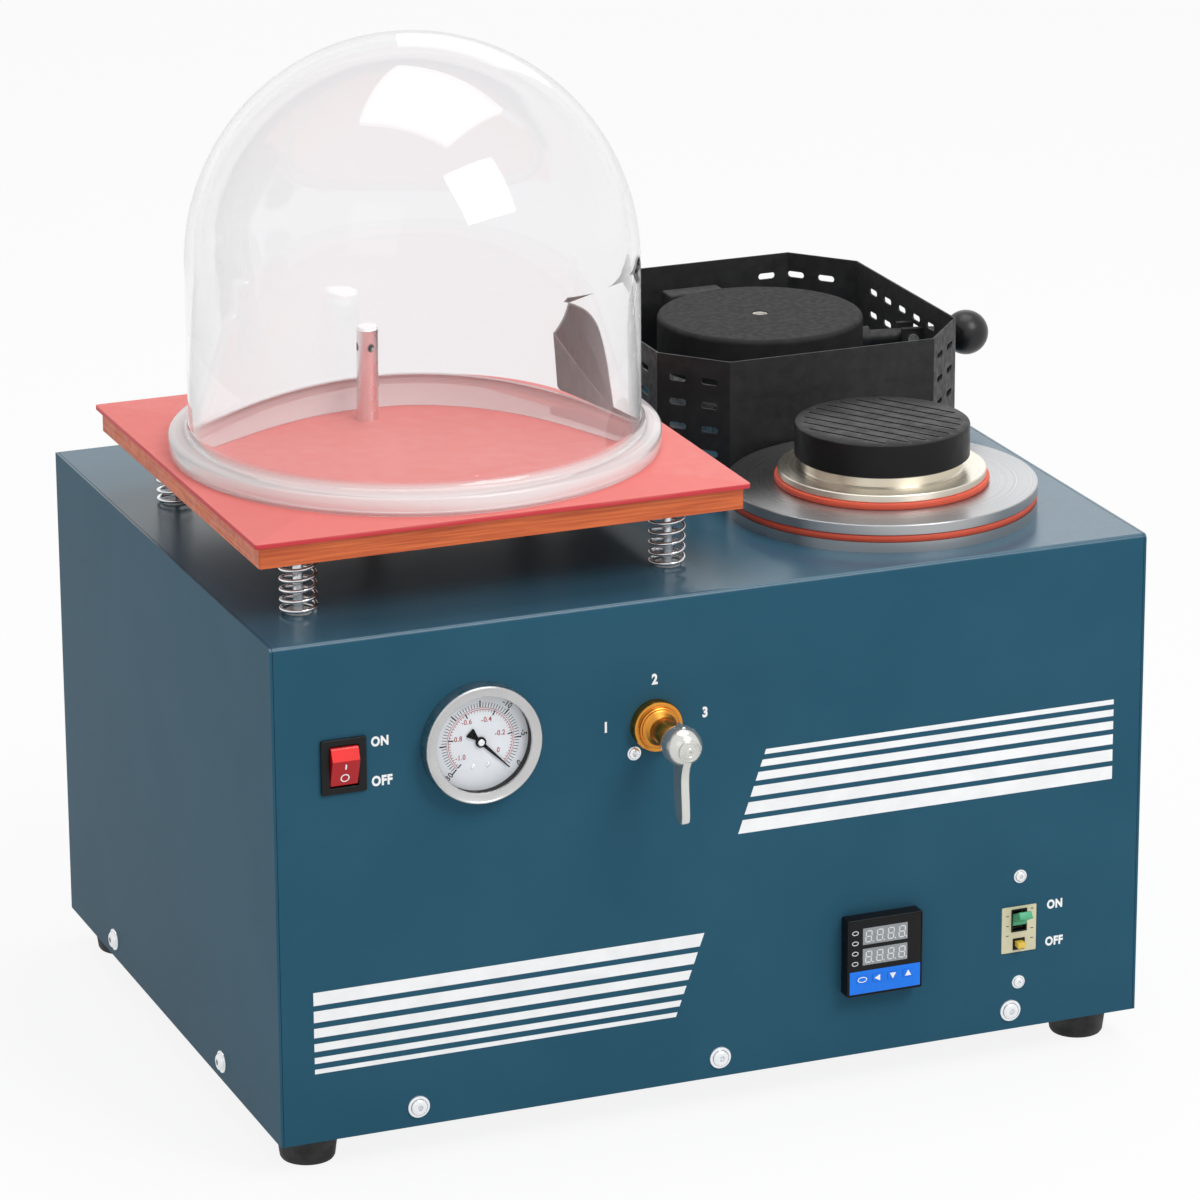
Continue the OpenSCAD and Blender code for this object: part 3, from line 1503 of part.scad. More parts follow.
module pump_motor() {
    foot_w = 90;
    foot_l = 80;
    spoke_w = 5;
    grille_x = cowl_x + cowl_len - cowl_wall;
    color(cast_grey) difference() {
        union() {
            translate([motor_x, pump_y, motor_z]) rotate([0, 90, 0])
                cylinder(h = motor_len + cowl_len, d = motor_d);
            translate([motor_x + motor_len / 2, pump_y, pump_low]) box(foot_l, foot_w, motor_z - pump_low - 30);
        }
        translate([cowl_x, pump_y, motor_z]) rotate([0, 90, 0])
            cylinder(h = cowl_len - cowl_wall, d = motor_d - 2 * cowl_wall);
        translate([motor_x - 1, pump_y, motor_z]) rotate([0, 90, 0])
            cylinder(h = motor_len + 2, d = shaft_d + 2 * run_gap);
        translate([grille_x - 1, pump_y, motor_z]) difference() {
            for (r = [14, 25, 36, 47]) rotate([0, 90, 0]) ring(2 * r + 5, 2 * r - 5, cowl_wall + 2);
            for (a = [45, 135]) rotate([a, 0, 0])
                translate([-1, -spoke_w / 2, -motor_d / 2]) cube([cowl_wall + 4, spoke_w, motor_d]);
        }
    }
}

module pump_fan() {
    hub_len = 18;
    blade_len = 14;
    fan_x = cowl_x + 4;
    tail = 26;
    blade_t = 2;
    tip_gap = 6;
    color(black) translate([0, pump_y, motor_z]) {
        translate([motor_x - tail, 0, 0]) rotate([0, 90, 0])
            cylinder(h = fan_x + hub_len + 2 - motor_x + tail, d = shaft_d);
        translate([fan_x, 0, 0]) rotate([0, 90, 0]) cylinder(h = hub_len, d = fan_hub_d);
        for (i = [0 : fan_blades - 1]) translate([fan_x + 2, 0, 0]) rotate([i * 360 / fan_blades, 0, 0])
            translate([0, -blade_t / 2, shaft_d / 2])
                cube([blade_len, blade_t, motor_d / 2 - cowl_wall - tip_gap - shaft_d / 2]);
    }
}

module vacuum_pipes() {
    y = front_y + sheet_t + valve_mid;
    vz = foot_h + valve_z;
    gz = foot_h + gauge_z;
    low_z = vz - port_out - 12;
    mid_z = under_z - port_len - 34;
    left_x = valve_x - port_out - 15;
    right_x = valve_x + port_out + 29;
    color(black) {
        bent_pipe([[suction_x, pump_y, pump_top + pipe_grip], [suction_x, pump_y, low_z],
                   [suction_x, y, low_z], [valve_x, y, low_z], [valve_x, y, vz - port_out + pipe_grip]],
                  pipe_d, pipe_bore);
        bent_pipe([[valve_x - port_out + pipe_grip, y, vz], [left_x, y, vz], [left_x, y, mid_z],
                   [left_x, nipple_y, mid_z], [nipple_x, nipple_y, mid_z],
                   [nipple_x, nipple_y, under_z - port_len + pipe_grip]], pipe_d, pipe_bore);
        bent_pipe([[valve_x + port_out - pipe_grip, y, vz], [right_x, y, vz], [right_x, cast_y, vz],
                   [chamber_port_x + pipe_grip, cast_y, vz]], pipe_d, pipe_bore);
        bent_pipe([[gauge_x, front_y + gauge_len + 3, gz], [gauge_x, pump_y, gz],
                   [gauge_x, pump_y, pump_top + pipe_grip]], pipe_d, pipe_bore);
    }
}

module exhaust_pipe() {
    start = pump_y + pump_w / 2 + pipe_grip;
    len = back_y + exhaust_out - start;
    collar_h = 3;
    color(black) translate([exhaust_x, 0, exhaust_z]) rotate([-90, 0, 0]) difference() {
        union() {
            translate([0, 0, start]) cylinder(h = len, d = pipe_d);
            translate([0, 0, back_y]) cylinder(h = collar_h, d = 2 * pipe_d);
        }
        translate([0, 0, start - 1]) cylinder(h = len + 2, d = pipe_bore);
    }
}

front_top_panel();
side_panel_left();
side_panel_right();
rear_panel();
base_pan();
button_screws();
rubber_feet();
power_inlet();
table_plate();
table_pad();
guide_bolts();
guide_bushes();
table_springs();
vacuum_nipple();
table_port();
bell_jar();
rocker_frame();
rocker();
gauge_case();
gauge_dial();
gauge_lens();
gauge_needle();
valve_body();
valve_rosette();
valve_plug();
valve_lever();
lever_cap();
controller_case();
controller_face();
key_set();
key_shift();
key_down();
key_up();
breaker_body();
breaker_toggle();
breaker_button();
panel_screws();
casting_chamber();
large_gasket();
adapter_plate();
small_gasket();
flask_seat();
flask_pad();
furnace_guard();
furnace_shell();
furnace_lining();
heating_coil();
crucible();
thermocouple();
furnace_lid();
lid_lining();
lid_rod();
ball_knob();
pivot_lugs();
pivot_pin();
pump_case();
pump_motor();
pump_fan();
vacuum_pipes();
exhaust_pipe();
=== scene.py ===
"""Jewelry vacuum casting machine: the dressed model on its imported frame. Sizes are in millimetres."""
import math

import bmesh
import bpy
from mathutils import Matrix, Vector

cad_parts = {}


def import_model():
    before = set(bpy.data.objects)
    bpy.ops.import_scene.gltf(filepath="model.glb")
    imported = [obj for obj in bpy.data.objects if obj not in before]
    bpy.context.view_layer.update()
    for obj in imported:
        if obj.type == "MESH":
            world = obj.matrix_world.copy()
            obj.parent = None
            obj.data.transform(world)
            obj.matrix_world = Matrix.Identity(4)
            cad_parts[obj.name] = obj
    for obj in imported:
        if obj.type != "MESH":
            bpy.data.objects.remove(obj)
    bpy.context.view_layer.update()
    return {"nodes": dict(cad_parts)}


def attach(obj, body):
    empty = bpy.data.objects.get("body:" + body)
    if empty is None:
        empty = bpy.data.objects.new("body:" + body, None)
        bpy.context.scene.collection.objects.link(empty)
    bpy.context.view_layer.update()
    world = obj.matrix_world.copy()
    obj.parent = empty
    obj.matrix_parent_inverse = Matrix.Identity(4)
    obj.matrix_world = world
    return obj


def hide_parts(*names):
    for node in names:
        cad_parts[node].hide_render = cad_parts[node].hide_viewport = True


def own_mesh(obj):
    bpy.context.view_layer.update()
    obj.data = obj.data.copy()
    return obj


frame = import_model()

MM = 0.001
IN_PLACE = Matrix.Identity(4)

# Places in the model's frame, with heights above the bench
DECK_Z = 318.5
FRONT_Y = -202.5
BACK_Y = 202.5
SIDE_X = 270
TABLE = (-121.5, -34)
PLATE_Z = 357.5
PAD_Z = 370
TOP_Z = 373
CAST = (150.8, -91.3)
# Tops of the casting station's parts: flange, large gasket, adapter, small gasket, seat's rim, seat
FLANGE_TOP = 324.6
LARGE_TOP = 328.7
ADAPTER_TOP = 335.1
SMALL_TOP = 339.0
RIM_TOP = 343.5
SEAT_TOP = 350.5
FURNACE = (160, 111.5)
ROCKER = (-228.5, 245)
GAUGE = (-147.5, 248.4)
VALVE = (-40.7, 243.7)
CONTROL = (100.8, 84.3)
BREAKER = (192, 83)
LONE_SCREW = (-53.5, 227.8)
FOOT_X = 245
FOOT_Y = 174.5

# Turns an outline of (up, out) pairs on edge, so that its thickness lies along X
ON_EDGE = Matrix.Rotation(math.pi / 2, 4, "Z") @ Matrix.Rotation(math.pi / 2, 4, "X")


def srgb(r, g, b):
    """The linear colour of an sRGB colour from 0 to 255."""
    def linear(v):
        v /= 255
        return v / 12.92 if v <= 0.04045 else ((v + 0.055) / 1.055) ** 2.4
    return (linear(r), linear(g), linear(b), 1)


# ---- Materials ----

class Finish:
    """A Principled material, with helpers for its procedural detail."""

    def __init__(self, name, colour, rough=0.5, **sockets):
        self.material = bpy.data.materials.new(name)
        self.material.use_nodes = True
        self.tree = self.material.node_tree
        self.shader = self.tree.nodes["Principled BSDF"]
        self.shader.inputs["Base Color"].default_value = colour
        self.shader.inputs["Roughness"].default_value = rough
        for key, value in sockets.items():
            self.shader.inputs[key.replace("_", " ")].default_value = value
        self.place = self.add("ShaderNodeTexCoord").outputs["Object"]

    def add(self, kind, inputs=None, **settings):
        node = self.tree.nodes.new(kind)
        for key, value in settings.items():
            setattr(node, key, value)
        for key, value in (inputs or {}).items():
            if isinstance(value, bpy.types.NodeSocket):
                self.tree.links.new(value, node.inputs[key])
            else:
                node.inputs[key].default_value = value
        return node

    def feed(self, socket, source):
        self.tree.links.new(source, self.shader.inputs[socket])

    def show_over(self, other, share):
        """Shows another shader over what the surface has so far, by a share from 0 to 1."""
        surface = self.tree.nodes["Material Output"].inputs["Surface"]
        mix = self.add("ShaderNodeMixShader", {0: share})
        self.tree.links.new(surface.links[0].from_socket, mix.inputs[1])
        self.tree.links.new(other.outputs[0], mix.inputs[2])
        self.tree.links.new(mix.outputs[0], surface)

    def noise(self, size, detail=2.0, stretch=None):
        """Noise whose grains are about size millimetres wide."""
        spot = self.place
        if stretch:
            spot = self.add("ShaderNodeMapping", {"Vector": spot, "Scale": stretch}).outputs[0]
        values = {"Vector": spot, "Scale": 1 / (size * MM), "Detail": detail}
        return self.add("ShaderNodeTexNoise", values).outputs["Fac"]

    def facing(self, axis):
        """How far a face looks along an axis of the scene, from -1 to 1."""
        face = self.add("ShaderNodeNewGeometry").outputs["Normal"]
        return self.add("ShaderNodeSeparateXYZ", {0: face}).outputs[axis]

    def from_centre(self, centre):
        """The place as measured from a vertical line at centre."""
        x, y = centre
        values = {0: self.place, 1: (x * MM, y * MM, 0)}
        return self.add("ShaderNodeVectorMath", values, operation="SUBTRACT").outputs[0]

    def turned(self, centre, size):
        """Noise in rings round a vertical line at centre, such as a lathe leaves."""
        parts = self.add("ShaderNodeSeparateXYZ", {0: self.from_centre(centre)})
        flat = self.add("ShaderNodeCombineXYZ", {0: parts.outputs[0], 1: parts.outputs[1]})
        radius = self.add("ShaderNodeVectorMath", {0: flat.outputs[0]}, operation="LENGTH").outputs["Value"]
        values = {"W": radius, "Scale": 1 / (size * MM), "Detail": 2.0}
        return self.add("ShaderNodeTexNoise", values, noise_dimensions="1D").outputs["Fac"]

    def ramp(self, source, low, high, start=0.35, end=0.65):
        """Spreads a value that runs from start to end over low to high."""
        values = {"Value": source, "From Min": start, "From Max": end, "To Min": low, "To Max": high}
        return self.add("ShaderNodeMapRange", values).outputs["Result"]

    def colour(self, source, dark, light, start=0.35, end=0.65):
        node = self.add("ShaderNodeValToRGB", {"Fac": source})
        node.color_ramp.elements[0].position = start
        node.color_ramp.elements[1].position = end
        node.color_ramp.elements[0].color = dark
        node.color_ramp.elements[1].color = light
        self.feed("Base Color", node.outputs["Color"])
        return self

    def rough(self, source, low, high):
        self.feed("Roughness", self.ramp(source, low, high))
        return self

    def bump(self, source, height):
        values = {"Height": source, "Distance": height * MM}
        self.feed("Normal", self.add("ShaderNodeBump", values).outputs["Normal"])
        return self


def any_ray(tree, *kinds):
    """1 for the kinds of ray named, such as Is Camera Ray, and 0 for all others."""
    path = tree.nodes.new("ShaderNodeLightPath")
    found = path.outputs[kinds[0]]
    for kind in kinds[1:]:
        either = tree.nodes.new("ShaderNodeMath")
        either.operation = "MAXIMUM"
        tree.links.new(found, either.inputs[0])
        tree.links.new(path.outputs[kind], either.inputs[1])
        found = either.outputs[0]
    return found


def shade(colour, factor):
    """A colour made darker or lighter by a factor."""
    return tuple(min(1, c * factor) for c in colour[:3]) + (1,)


def powder_coat():
    """Teal paint, which is shinier where it looks up."""
    f = Finish("powder_coat", srgb(45, 88, 109), 0.24)
    f.colour(f.noise(60, 3), srgb(44, 87, 108), srgb(47, 90, 111))
    f.feed("Specular IOR Level", f.ramp(f.facing(2), 0.02, 0.6, 0.3, 0.8))
    f.rough(f.noise(6, 3), 0.22, 0.26)
    return f.bump(f.noise(2.6, 1), 0.01)


def textured_black():
    f = Finish("textured_black", srgb(32, 32, 33), 0.55, Specular_IOR_Level=0.4)
    f.colour(f.noise(9, 4), srgb(26, 26, 27), srgb(37, 37, 38))
    f.rough(f.noise(5, 3), 0.48, 0.66)
    return f.bump(f.noise(0.7, 3), 0.05)


def lid_black():
    f = Finish("lid_black", srgb(40, 40, 41), 0.7, Specular_IOR_Level=0.16)
    f.colour(f.noise(12, 5), srgb(37, 37, 38), srgb(43, 43, 44))
    f.rough(f.noise(4, 3), 0.62, 0.76)
    return f.bump(f.noise(0.6, 2), 0.008)


def plastic(name, colour, rough=0.4, depth=0.012, **sockets):
    f = Finish(name, colour, rough, **sockets)
    f.colour(f.noise(15, 3), shade(colour, 0.96), shade(colour, 1.03))
    f.rough(f.noise(6, 3), rough * 0.85, rough * 1.2)
    return f.bump(f.noise(0.6, 2), depth)


def rubber(name, colour, rough=0.6, **sockets):
    f = Finish(name, colour, rough, **sockets)
    f.colour(f.noise(25, 4), shade(colour, 0.93), shade(colour, 1.05))
    f.rough(f.noise(8, 3), rough * 0.85, rough * 1.15)
    return f.bump(f.noise(0.9, 3), 0.02)


def metal(name, colour, rough=0.2, size=0.4, depth=0.004, share=1.0, grain=(1, 1, 1)):
    """A bare metal; a share under 1 makes its shaded faces less black."""
    f = Finish(name, colour, rough, Metallic=share)
    f.colour(f.noise(20, 3), shade(colour, 0.93), shade(colour, 1.03))
    f.rough(f.noise(size * 4, 3, grain), rough * 0.8, rough * 1.25)
    return f.bump(f.noise(size, 2, grain), depth)


def turned_steel(name, centre, dark, light):
    """Stainless steel with turning marks, whose highlights spread across the marks."""
    f = Finish(name, light, 0.3, Metallic=1.0, Anisotropic=0.7)
    f.colour(f.turned(centre, 1.1), dark, light)
    f.rough(f.turned(centre, 0.8), 0.27, 0.34)
    f.bump(f.turned(centre, 0.5), 0.0012)
    out = {0: f.from_centre(centre), 1: (0, 0, 1)}
    along = f.add("ShaderNodeVectorMath", out, operation="CROSS_PRODUCT").outputs[0]
    face = f.add("ShaderNodeNewGeometry").outputs["Normal"]
    across = f.add("ShaderNodeVectorMath", {0: along, 1: face}, operation="CROSS_PRODUCT").outputs[0]
    f.feed("Tangent", f.add("ShaderNodeVectorMath", {0: across}, operation="NORMALIZE").outputs[0])
    return f


def painted_top_light(name, low, high, rough, shine):
    """A soft plastic with painted light: its colour is paler where it looks up, as if lit from above, and
    darker where it looks sideways or down.
    """
    f = Finish(name, high, rough, Specular_IOR_Level=shine)
    drift = f.ramp(f.noise(40, 4), -0.06, 0.06)
    upward = f.add("ShaderNodeMath", {0: f.facing(2), 1: drift}, operation="ADD").outputs[0]
    # Painted light: the colour runs from the shaded colour to the lit colour as the face turns upwards
    f.colour(upward, low, high, 0.0, 0.34)
    f.rough(f.noise(10, 3), rough * 0.9, rough * 1.1)
    return f.bump(f.noise(1.2, 3), 0.008)


def laminate():
    f = Finish("laminate", srgb(196, 96, 44), 0.45)
    f.colour(f.noise(1.4, 3, (0.03, 0.03, 1)), srgb(184, 78, 30), srgb(220, 110, 54))
    f.rough(f.noise(5, 3), 0.38, 0.55)
    return f.bump(f.noise(0.8, 2, (0.05, 0.05, 1)), 0.02)


def clear(name, tint=(1, 1, 1, 1), ior=1.49):
    """A clear plastic or glass whose shadow stays light."""
    f = Finish(name, tint, 0.0, Transmission_Weight=1.0, IOR=ior)
    f.rough(f.noise(70, 3), 0.0, 0.02)
    f.bump(f.noise(90, 2), 0.05)
    through = f.add("ShaderNodeBsdfTransparent", {"Color": (0.96, 0.96, 0.96, 1)})
    f.show_over(through, any_ray(f.tree, "Is Shadow Ray", "Is Diffuse Ray"))
    return f


def acrylic():
    """The jar's clear plastic, which is milky in the thick foot and clears above it."""
    milky_to, clear_from = 384, 389
    f = clear("acrylic", (0.955, 0.955, 0.962, 1))
    height = f.add("ShaderNodeSeparateXYZ", {0: f.place}).outputs[2]
    haze = f.add("ShaderNodeBsdfPrincipled", {"Base Color": (0.95, 0.94, 0.94, 1), "Roughness": 0.12})
    f.show_over(haze, f.ramp(height, 0.58, 0.0, milky_to * MM, clear_from * MM))
    return f


def fibre():
    f = Finish("fibre", srgb(228, 226, 220), 0.95)
    f.colour(f.noise(3, 5), srgb(205, 202, 194), srgb(238, 236, 230))
    return f.rough(f.noise(2, 3), 0.85, 1.0).bump(f.noise(0.9, 4), 0.2)


PAINT = powder_coat()
BLACK_PAINT = textured_black()
LID_PAINT = lid_black()
BLACK = plastic("black_plastic", srgb(20, 20, 22), 0.4, Specular_IOR_Level=0.22)
GLOSS_BLACK = plastic("gloss_black", srgb(12, 12, 15), 0.2, depth=0.002, Specular_IOR_Level=0.22)
KNOB = plastic("knob_black", srgb(22, 22, 23), 0.3, depth=0.004, Specular_IOR_Level=0.4)
WHITE_INK = plastic("white_ink", srgb(248, 249, 250), 0.5, depth=0.002)
DARK_INK = plastic("dark_ink", srgb(14, 15, 18), 0.5, Specular_IOR_Level=0.1)
RED_INK = plastic("red_ink", srgb(176, 62, 66), 0.5, Specular_IOR_Level=0.1)
DIAL_WHITE = plastic("dial_white", srgb(240, 244, 250), 0.45)
CREAM = plastic("cream", srgb(214, 208, 176), 0.45)
GREEN = plastic("green", srgb(74, 176, 128), 0.35)
YELLOW = plastic("yellow", srgb(232, 196, 74), 0.35)
BLUE = plastic("blue", srgb(18, 122, 240), 0.4, Specular_IOR_Level=0.3)
WINDOW = plastic("display_window", srgb(150, 154, 158), 0.35, Specular_IOR_Level=0.2)
SEGMENT = plastic("display_segment", srgb(226, 228, 230), 0.4, Specular_IOR_Level=0.2)
WHITE_PLASTIC = plastic("white_plastic", srgb(226, 226, 222), 0.45)
FAN_PLASTIC = plastic("fan_plastic", srgb(40, 42, 44), 0.5)
# Painted light on the rocker's lens: bright red on faces that look up, dark red on the lower facet
RED_LENS = painted_top_light("red_lens", srgb(176, 10, 22), srgb(252, 62, 60), 0.2, 0.35)
RUBBER = rubber("black_rubber", srgb(26, 26, 27), 0.7)
HOSE = rubber("hose", srgb(30, 31, 33), 0.6)
GASKET = rubber("gasket", srgb(214, 84, 58), 0.5)
PAD_BLACK = rubber("pad_black", srgb(17, 17, 18), 0.42, Specular_IOR_Level=0.2)
# Painted light on the silicone pad: pale pink on its top, deeper red on its sides
SILICONE = painted_top_light("silicone", srgb(206, 62, 70), srgb(226, 122, 117), 0.5, 0.2)
LAMINATE = laminate()
ZINC = metal("zinc", srgb(242, 244, 246), 0.22, size=2.5, share=0.8)
WIRE = metal("wire", srgb(228, 230, 232), 0.12, size=2.5)
CHROME = metal("chrome", srgb(214, 214, 209), 0.2, size=3, share=0.82)
POLISHED = metal("polished_tube", srgb(238, 232, 232), 0.3, size=3, depth=0.002)
BRASS = metal("brass", srgb(216, 146, 62), 0.28, size=2)
BEZEL = metal("bezel", srgb(200, 200, 200), 0.3, size=2, depth=0.004)
STEEL = metal("stainless", srgb(200, 201, 202), 0.3, 0.5, grain=(1, 1, 0.08))
TURNED = turned_steel("turned_steel", CAST, srgb(170, 171, 173), srgb(184, 185, 186))
SEAT_STEEL = turned_steel("seat_steel", CAST, srgb(222, 215, 200), srgb(236, 229, 214))
CAST_METAL = metal("cast_metal", srgb(150, 154, 158), 0.5, size=1.2, depth=0.08)
ELEMENT = metal("element", srgb(120, 92, 78), 0.5, size=0.6, depth=0.02)
GRAPHITE = rubber("graphite", srgb(70, 71, 74), 0.5)
ACRYLIC = acrylic()
LENS = clear("gauge_glass", ior=1.12)
FIBRE = fibre()


# ---- Shapes: each gives a list of points and a list of faces ----

def circle(r, z, sides):
    steps = [2 * math.pi * i / sides for i in range(sides)]
    return [(r * math.cos(a), r * math.sin(a), z) for a in steps]


def hexagon(across, z, sides=48):
    """A hexagon as a ring of points, so that it joins a circle's."""
    points = []
    for i in range(sides):
        a = 2 * math.pi * i / sides
        r = across / 2 / math.cos(a % (math.pi / 3) - math.pi / 6)
        points.append((r * math.cos(a), r * math.sin(a), z))
    return points


def rounded(w, h, r, z):
    """A rectangle with rounded corners as a ring of points."""
    steps = 6
    points = []
    for k, (sx, sy) in enumerate(((1, 1), (-1, 1), (-1, -1), (1, -1))):
        for i in range(steps + 1):
            a = math.pi / 2 * (k + i / steps)
            x, y = sx * (w / 2 - r), sy * (h / 2 - r)
            points.append((x + r * math.cos(a), y + r * math.sin(a), z))
    return points


def loft(rings, closed=False):
    """Joins rings of points in turn; a ring of one point is a pole."""
    points, faces, starts = [], [], []
    for ring in rings:
        starts.append(len(points))
        points += ring
    pairs = list(range(len(rings) - 1))
    if closed:
        pairs.append(len(rings) - 1)
    for i in pairs:
        j = (i + 1) % len(rings)
        a, b, n, m = starts[i], starts[j], len(rings[i]), len(rings[j])
        for k in range(max(n, m)):
            k2 = (k + 1) % max(n, m)
            if n == 1:
                faces.append((a, b + k, b + k2))
            elif m == 1:
                faces.append((a + k2, a + k, b))
            else:
                faces.append((a + k, b + k, b + k2, a + k2))
    return points, faces


def lathe(profile, sides=96, closed=False):
    """A solid of revolution about Z from (radius, height) pairs."""
    return loft([circle(r, z, sides) if r > 0 else [(0, 0, z)] for r, z in profile], closed)


def slab(w, h, r, z0, z1, edge):
    """A block with rounded corners and softened top and bottom edges."""
    rings = [[(0, 0, z0)]]
    arc = [math.pi / 2 * i / 3 for i in range(4)]
    for a in arc:
        inset = edge * (1 - math.sin(a))
        rings.append(rounded(w - 2 * inset, h - 2 * inset, r, z0 + edge * (1 - math.cos(a))))
    for a in reversed(arc):
        inset = edge * (1 - math.sin(a))
        rings.append(rounded(w - 2 * inset, h - 2 * inset, r, z1 - edge * (1 - math.cos(a))))
    rings.append([(0, 0, z1)])
    return loft(rings)


def prism(outline, z0, z1):
    """A block with a flat outline of (x, y) pairs."""
    n = len(outline)
    points = [(x, y, z0) for x, y in outline] + [(x, y, z1) for x, y in outline]
    faces = [tuple(reversed(range(n))), tuple(range(n, 2 * n))]
    faces += [(i, (i + 1) % n, n + (i + 1) % n, n + i) for i in range(n)]
    return points, faces


def tube(path, radius):
    """A round wire along a path of points."""
    sides = 10
    path = [Vector(p) for p in path]
    rings = []
    side = None
    for i, p in enumerate(path):
        along = (path[min(i + 1, len(path) - 1)] - path[max(i - 1, 0)]).normalized()
        if side is None:
            side = along.orthogonal().normalized()
        side = (side - along * side.dot(along)).normalized()
        up = along.cross(side)
        steps = [2 * math.pi * k / sides for k in range(sides)]
        rings.append([tuple(p + (side * math.cos(a) + up * math.sin(a)) * radius) for a in steps])
    return loft([[tuple(path[0])]] + rings + [[tuple(path[-1])]])


def moved(shape, matrix):
    """A shape turned and shifted by a matrix in millimetres."""
    points, faces = shape
    return [tuple(matrix @ Vector(p)) for p in points], faces


def at(x, y, z=0):
    return Matrix.Translation((x, y, z))


def front(x, z):
    """A place on the front panel, with +Z out of the panel and +Y up."""
    return at(x, FRONT_Y, z) @ Matrix.Rotation(math.pi / 2, 4, "X")


def joined(shapes):
    """Several shapes as one."""
    points, faces = [], []
    for p, f in shapes:
        start = len(points)
        points += p
        faces += [tuple(start + i for i in face) for face in f]
    return points, faces


# ---- Pieces ----

# Angle in degrees from which an edge is sharp
SHARP = 35


def dress(obj, finish, angle):
    """Gives a mesh its material and smooths all but its sharp edges."""
    obj.data.materials.clear()
    obj.data.materials.append(finish.material)
    obj.data.polygons.foreach_set("use_smooth", [True] * len(obj.data.polygons))
    obj.data.set_sharp_from_angle(angle=math.radians(angle))


def bevel(obj, width):
    """Rounds the sharp edges of a piece."""
    mod = obj.modifiers.new("edges", "BEVEL")
    mod.width = width * MM
    mod.segments = 2
    mod.limit_method = "ANGLE"
    mod.angle_limit = math.radians(SHARP)


def placed(name, data):
    """A new object in the scene."""
    obj = bpy.data.objects.new(name, data)
    bpy.context.scene.collection.objects.link(obj)
    return obj


def solid(name, shape, place):
    """An object from a shape in millimetres, with all faces turned outwards."""
    points, faces = moved(shape, place)
    data = bpy.data.meshes.new(name)
    data.from_pydata([tuple(Vector(p) * MM) for p in points], [], faces)
    data.validate()
    mesh = bmesh.new()
    mesh.from_mesh(data)
    bmesh.ops.recalc_face_normals(mesh, faces=mesh.faces)
    mesh.to_mesh(data)
    mesh.free()
    return placed(name, data)


def piece(name, shape, finish, body, slot, place=IN_PLACE, replaces=(), edge=0, angle=SHARP):
    """A named piece from a shape, riding on a body."""
    obj = solid(name, shape, place)
    dress(obj, finish, angle)
    if edge:
        bevel(obj, edge)
    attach(obj, body)
    if replaces:
        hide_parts(*replaces)
    return obj


def final_mesh(obj):
    """The mesh of an object with its modifiers applied."""
    bpy.context.view_layer.update()
    return bpy.data.meshes.new_from_object(obj.evaluated_get(bpy.context.evaluated_depsgraph_get()))


def cut(obj, shape, place=IN_PLACE):
    """Cuts a shape out of a piece that has no other modifier yet."""
    cutter = solid("cutter", shape, place)
    mod = obj.modifiers.new("cut", "BOOLEAN")
    mod.object = cutter
    mod.operation = "DIFFERENCE"
    mod.solver = "EXACT"
    result = final_mesh(obj)
    obj.modifiers.remove(mod)
    obj.data = result
    bpy.data.objects.remove(cutter)
    smooth = [True] * len(result.polygons)
    result.polygons.foreach_set("use_smooth", smooth)
    result.set_sharp_from_angle(angle=math.radians(SHARP))


def lettering(name, text, cap, finish, slot, place, depth=0.12, bold=0.02, middle=False, narrow=1.0):
    """Printed characters on the cabinet's body, whose capitals are cap high."""
    half = 0.02
    data = bpy.data.curves.new(name, "FONT")
    data.body = text
    data.offset = bold
    data.space_character = 1.1
    data.resolution_u = 4
    data.extrude = half
    letters = placed(name, data)
    mesh = final_mesh(letters)
    bpy.data.objects.remove(letters)
    xs = [v.co.x for v in mesh.vertices]
    ys = [v.co.y for v in mesh.vertices]
    scale = cap / (max(ys) - min(ys))
    shift = -(min(xs) + max(xs)) / 2 if middle else -min(xs)
    drop = -(min(ys) + max(ys)) / 2 if middle else -min(ys)
    thick = depth / (2 * half)
    points = [((v.co.x + shift) * scale * narrow, (v.co.y + drop) * scale, (v.co.z + half) * thick)
              for v in mesh.vertices]
    faces = [tuple(p.vertices) for p in mesh.polygons]
    bpy.data.meshes.remove(mesh)
    piece(name, (points, faces), finish, "base", slot, place)


# ---- Cabinet ----

# Low and high edges of the printed stripes
STRIPES_UP = [(215.9, 218.9), (208.6, 212.7), (200.4, 205.5), (191.0, 197.2), (180.6, 187.8), (169.3, 177.4)]
STRIPES_LOW = [(103.5, 111.4), (93.2, 100.1), (83.9, 89.6), (75.5, 80.3), (68.2, 71.9), (61.9, 64.7)]
INK_T = 0.12


def stripes():
    """The printed stripes, whose inner ends are cut along slanted lines."""
    right_end, left_end = 251, -249
    shapes = []
    for low, high in STRIPES_UP:
        left = [28.4 - (219 - z) * 0.349 for z in (low, high)]
        corners_up = [(left[0], low), (right_end, low), (right_end, high), (left[1], high)]
        shapes.append(prism(corners_up, 0, INK_T))
    for low, high in STRIPES_LOW:
        right = [-10 - (111.4 - z) * 0.36 for z in (low, high)]
        corners_low = [(left_end, low), (right[0], low), (right[1], high), (left_end, high)]
        shapes.append(prism(corners_low, 0, INK_T))
    piece("printed_stripes", joined(shapes), WHITE_INK, "base", "teal_paint", front(0, 0))


def switch_words():
    """ON and OFF beside both switches, and a number at each of the valve's positions."""
    def word(name, text, cap, x, z, middle=False):
        lettering(name, text, cap, WHITE_INK, "teal_paint", front(x, z), bold=0.045, middle=middle,
                  narrow=0.84)
    word("on_power", "ON", 6.0, -211.8, 253.5)
    word("off_power", "OFF", 6.2, -211.8, 229.9)
    word("on_breaker", "ON", 5.8, 210.1, 92.8)
    word("off_breaker", "OFF", 5.8, 209.4, 69.4)
    word("valve_left", "1", 6.5, VALVE[0] - 30, VALVE[1] + 2, True)
    word("valve_top", "2", 6.5, VALVE[0], VALVE[1] + 27, True)
    word("valve_right", "3", 6.5, VALVE[0] + 31, VALVE[1] + 3, True)


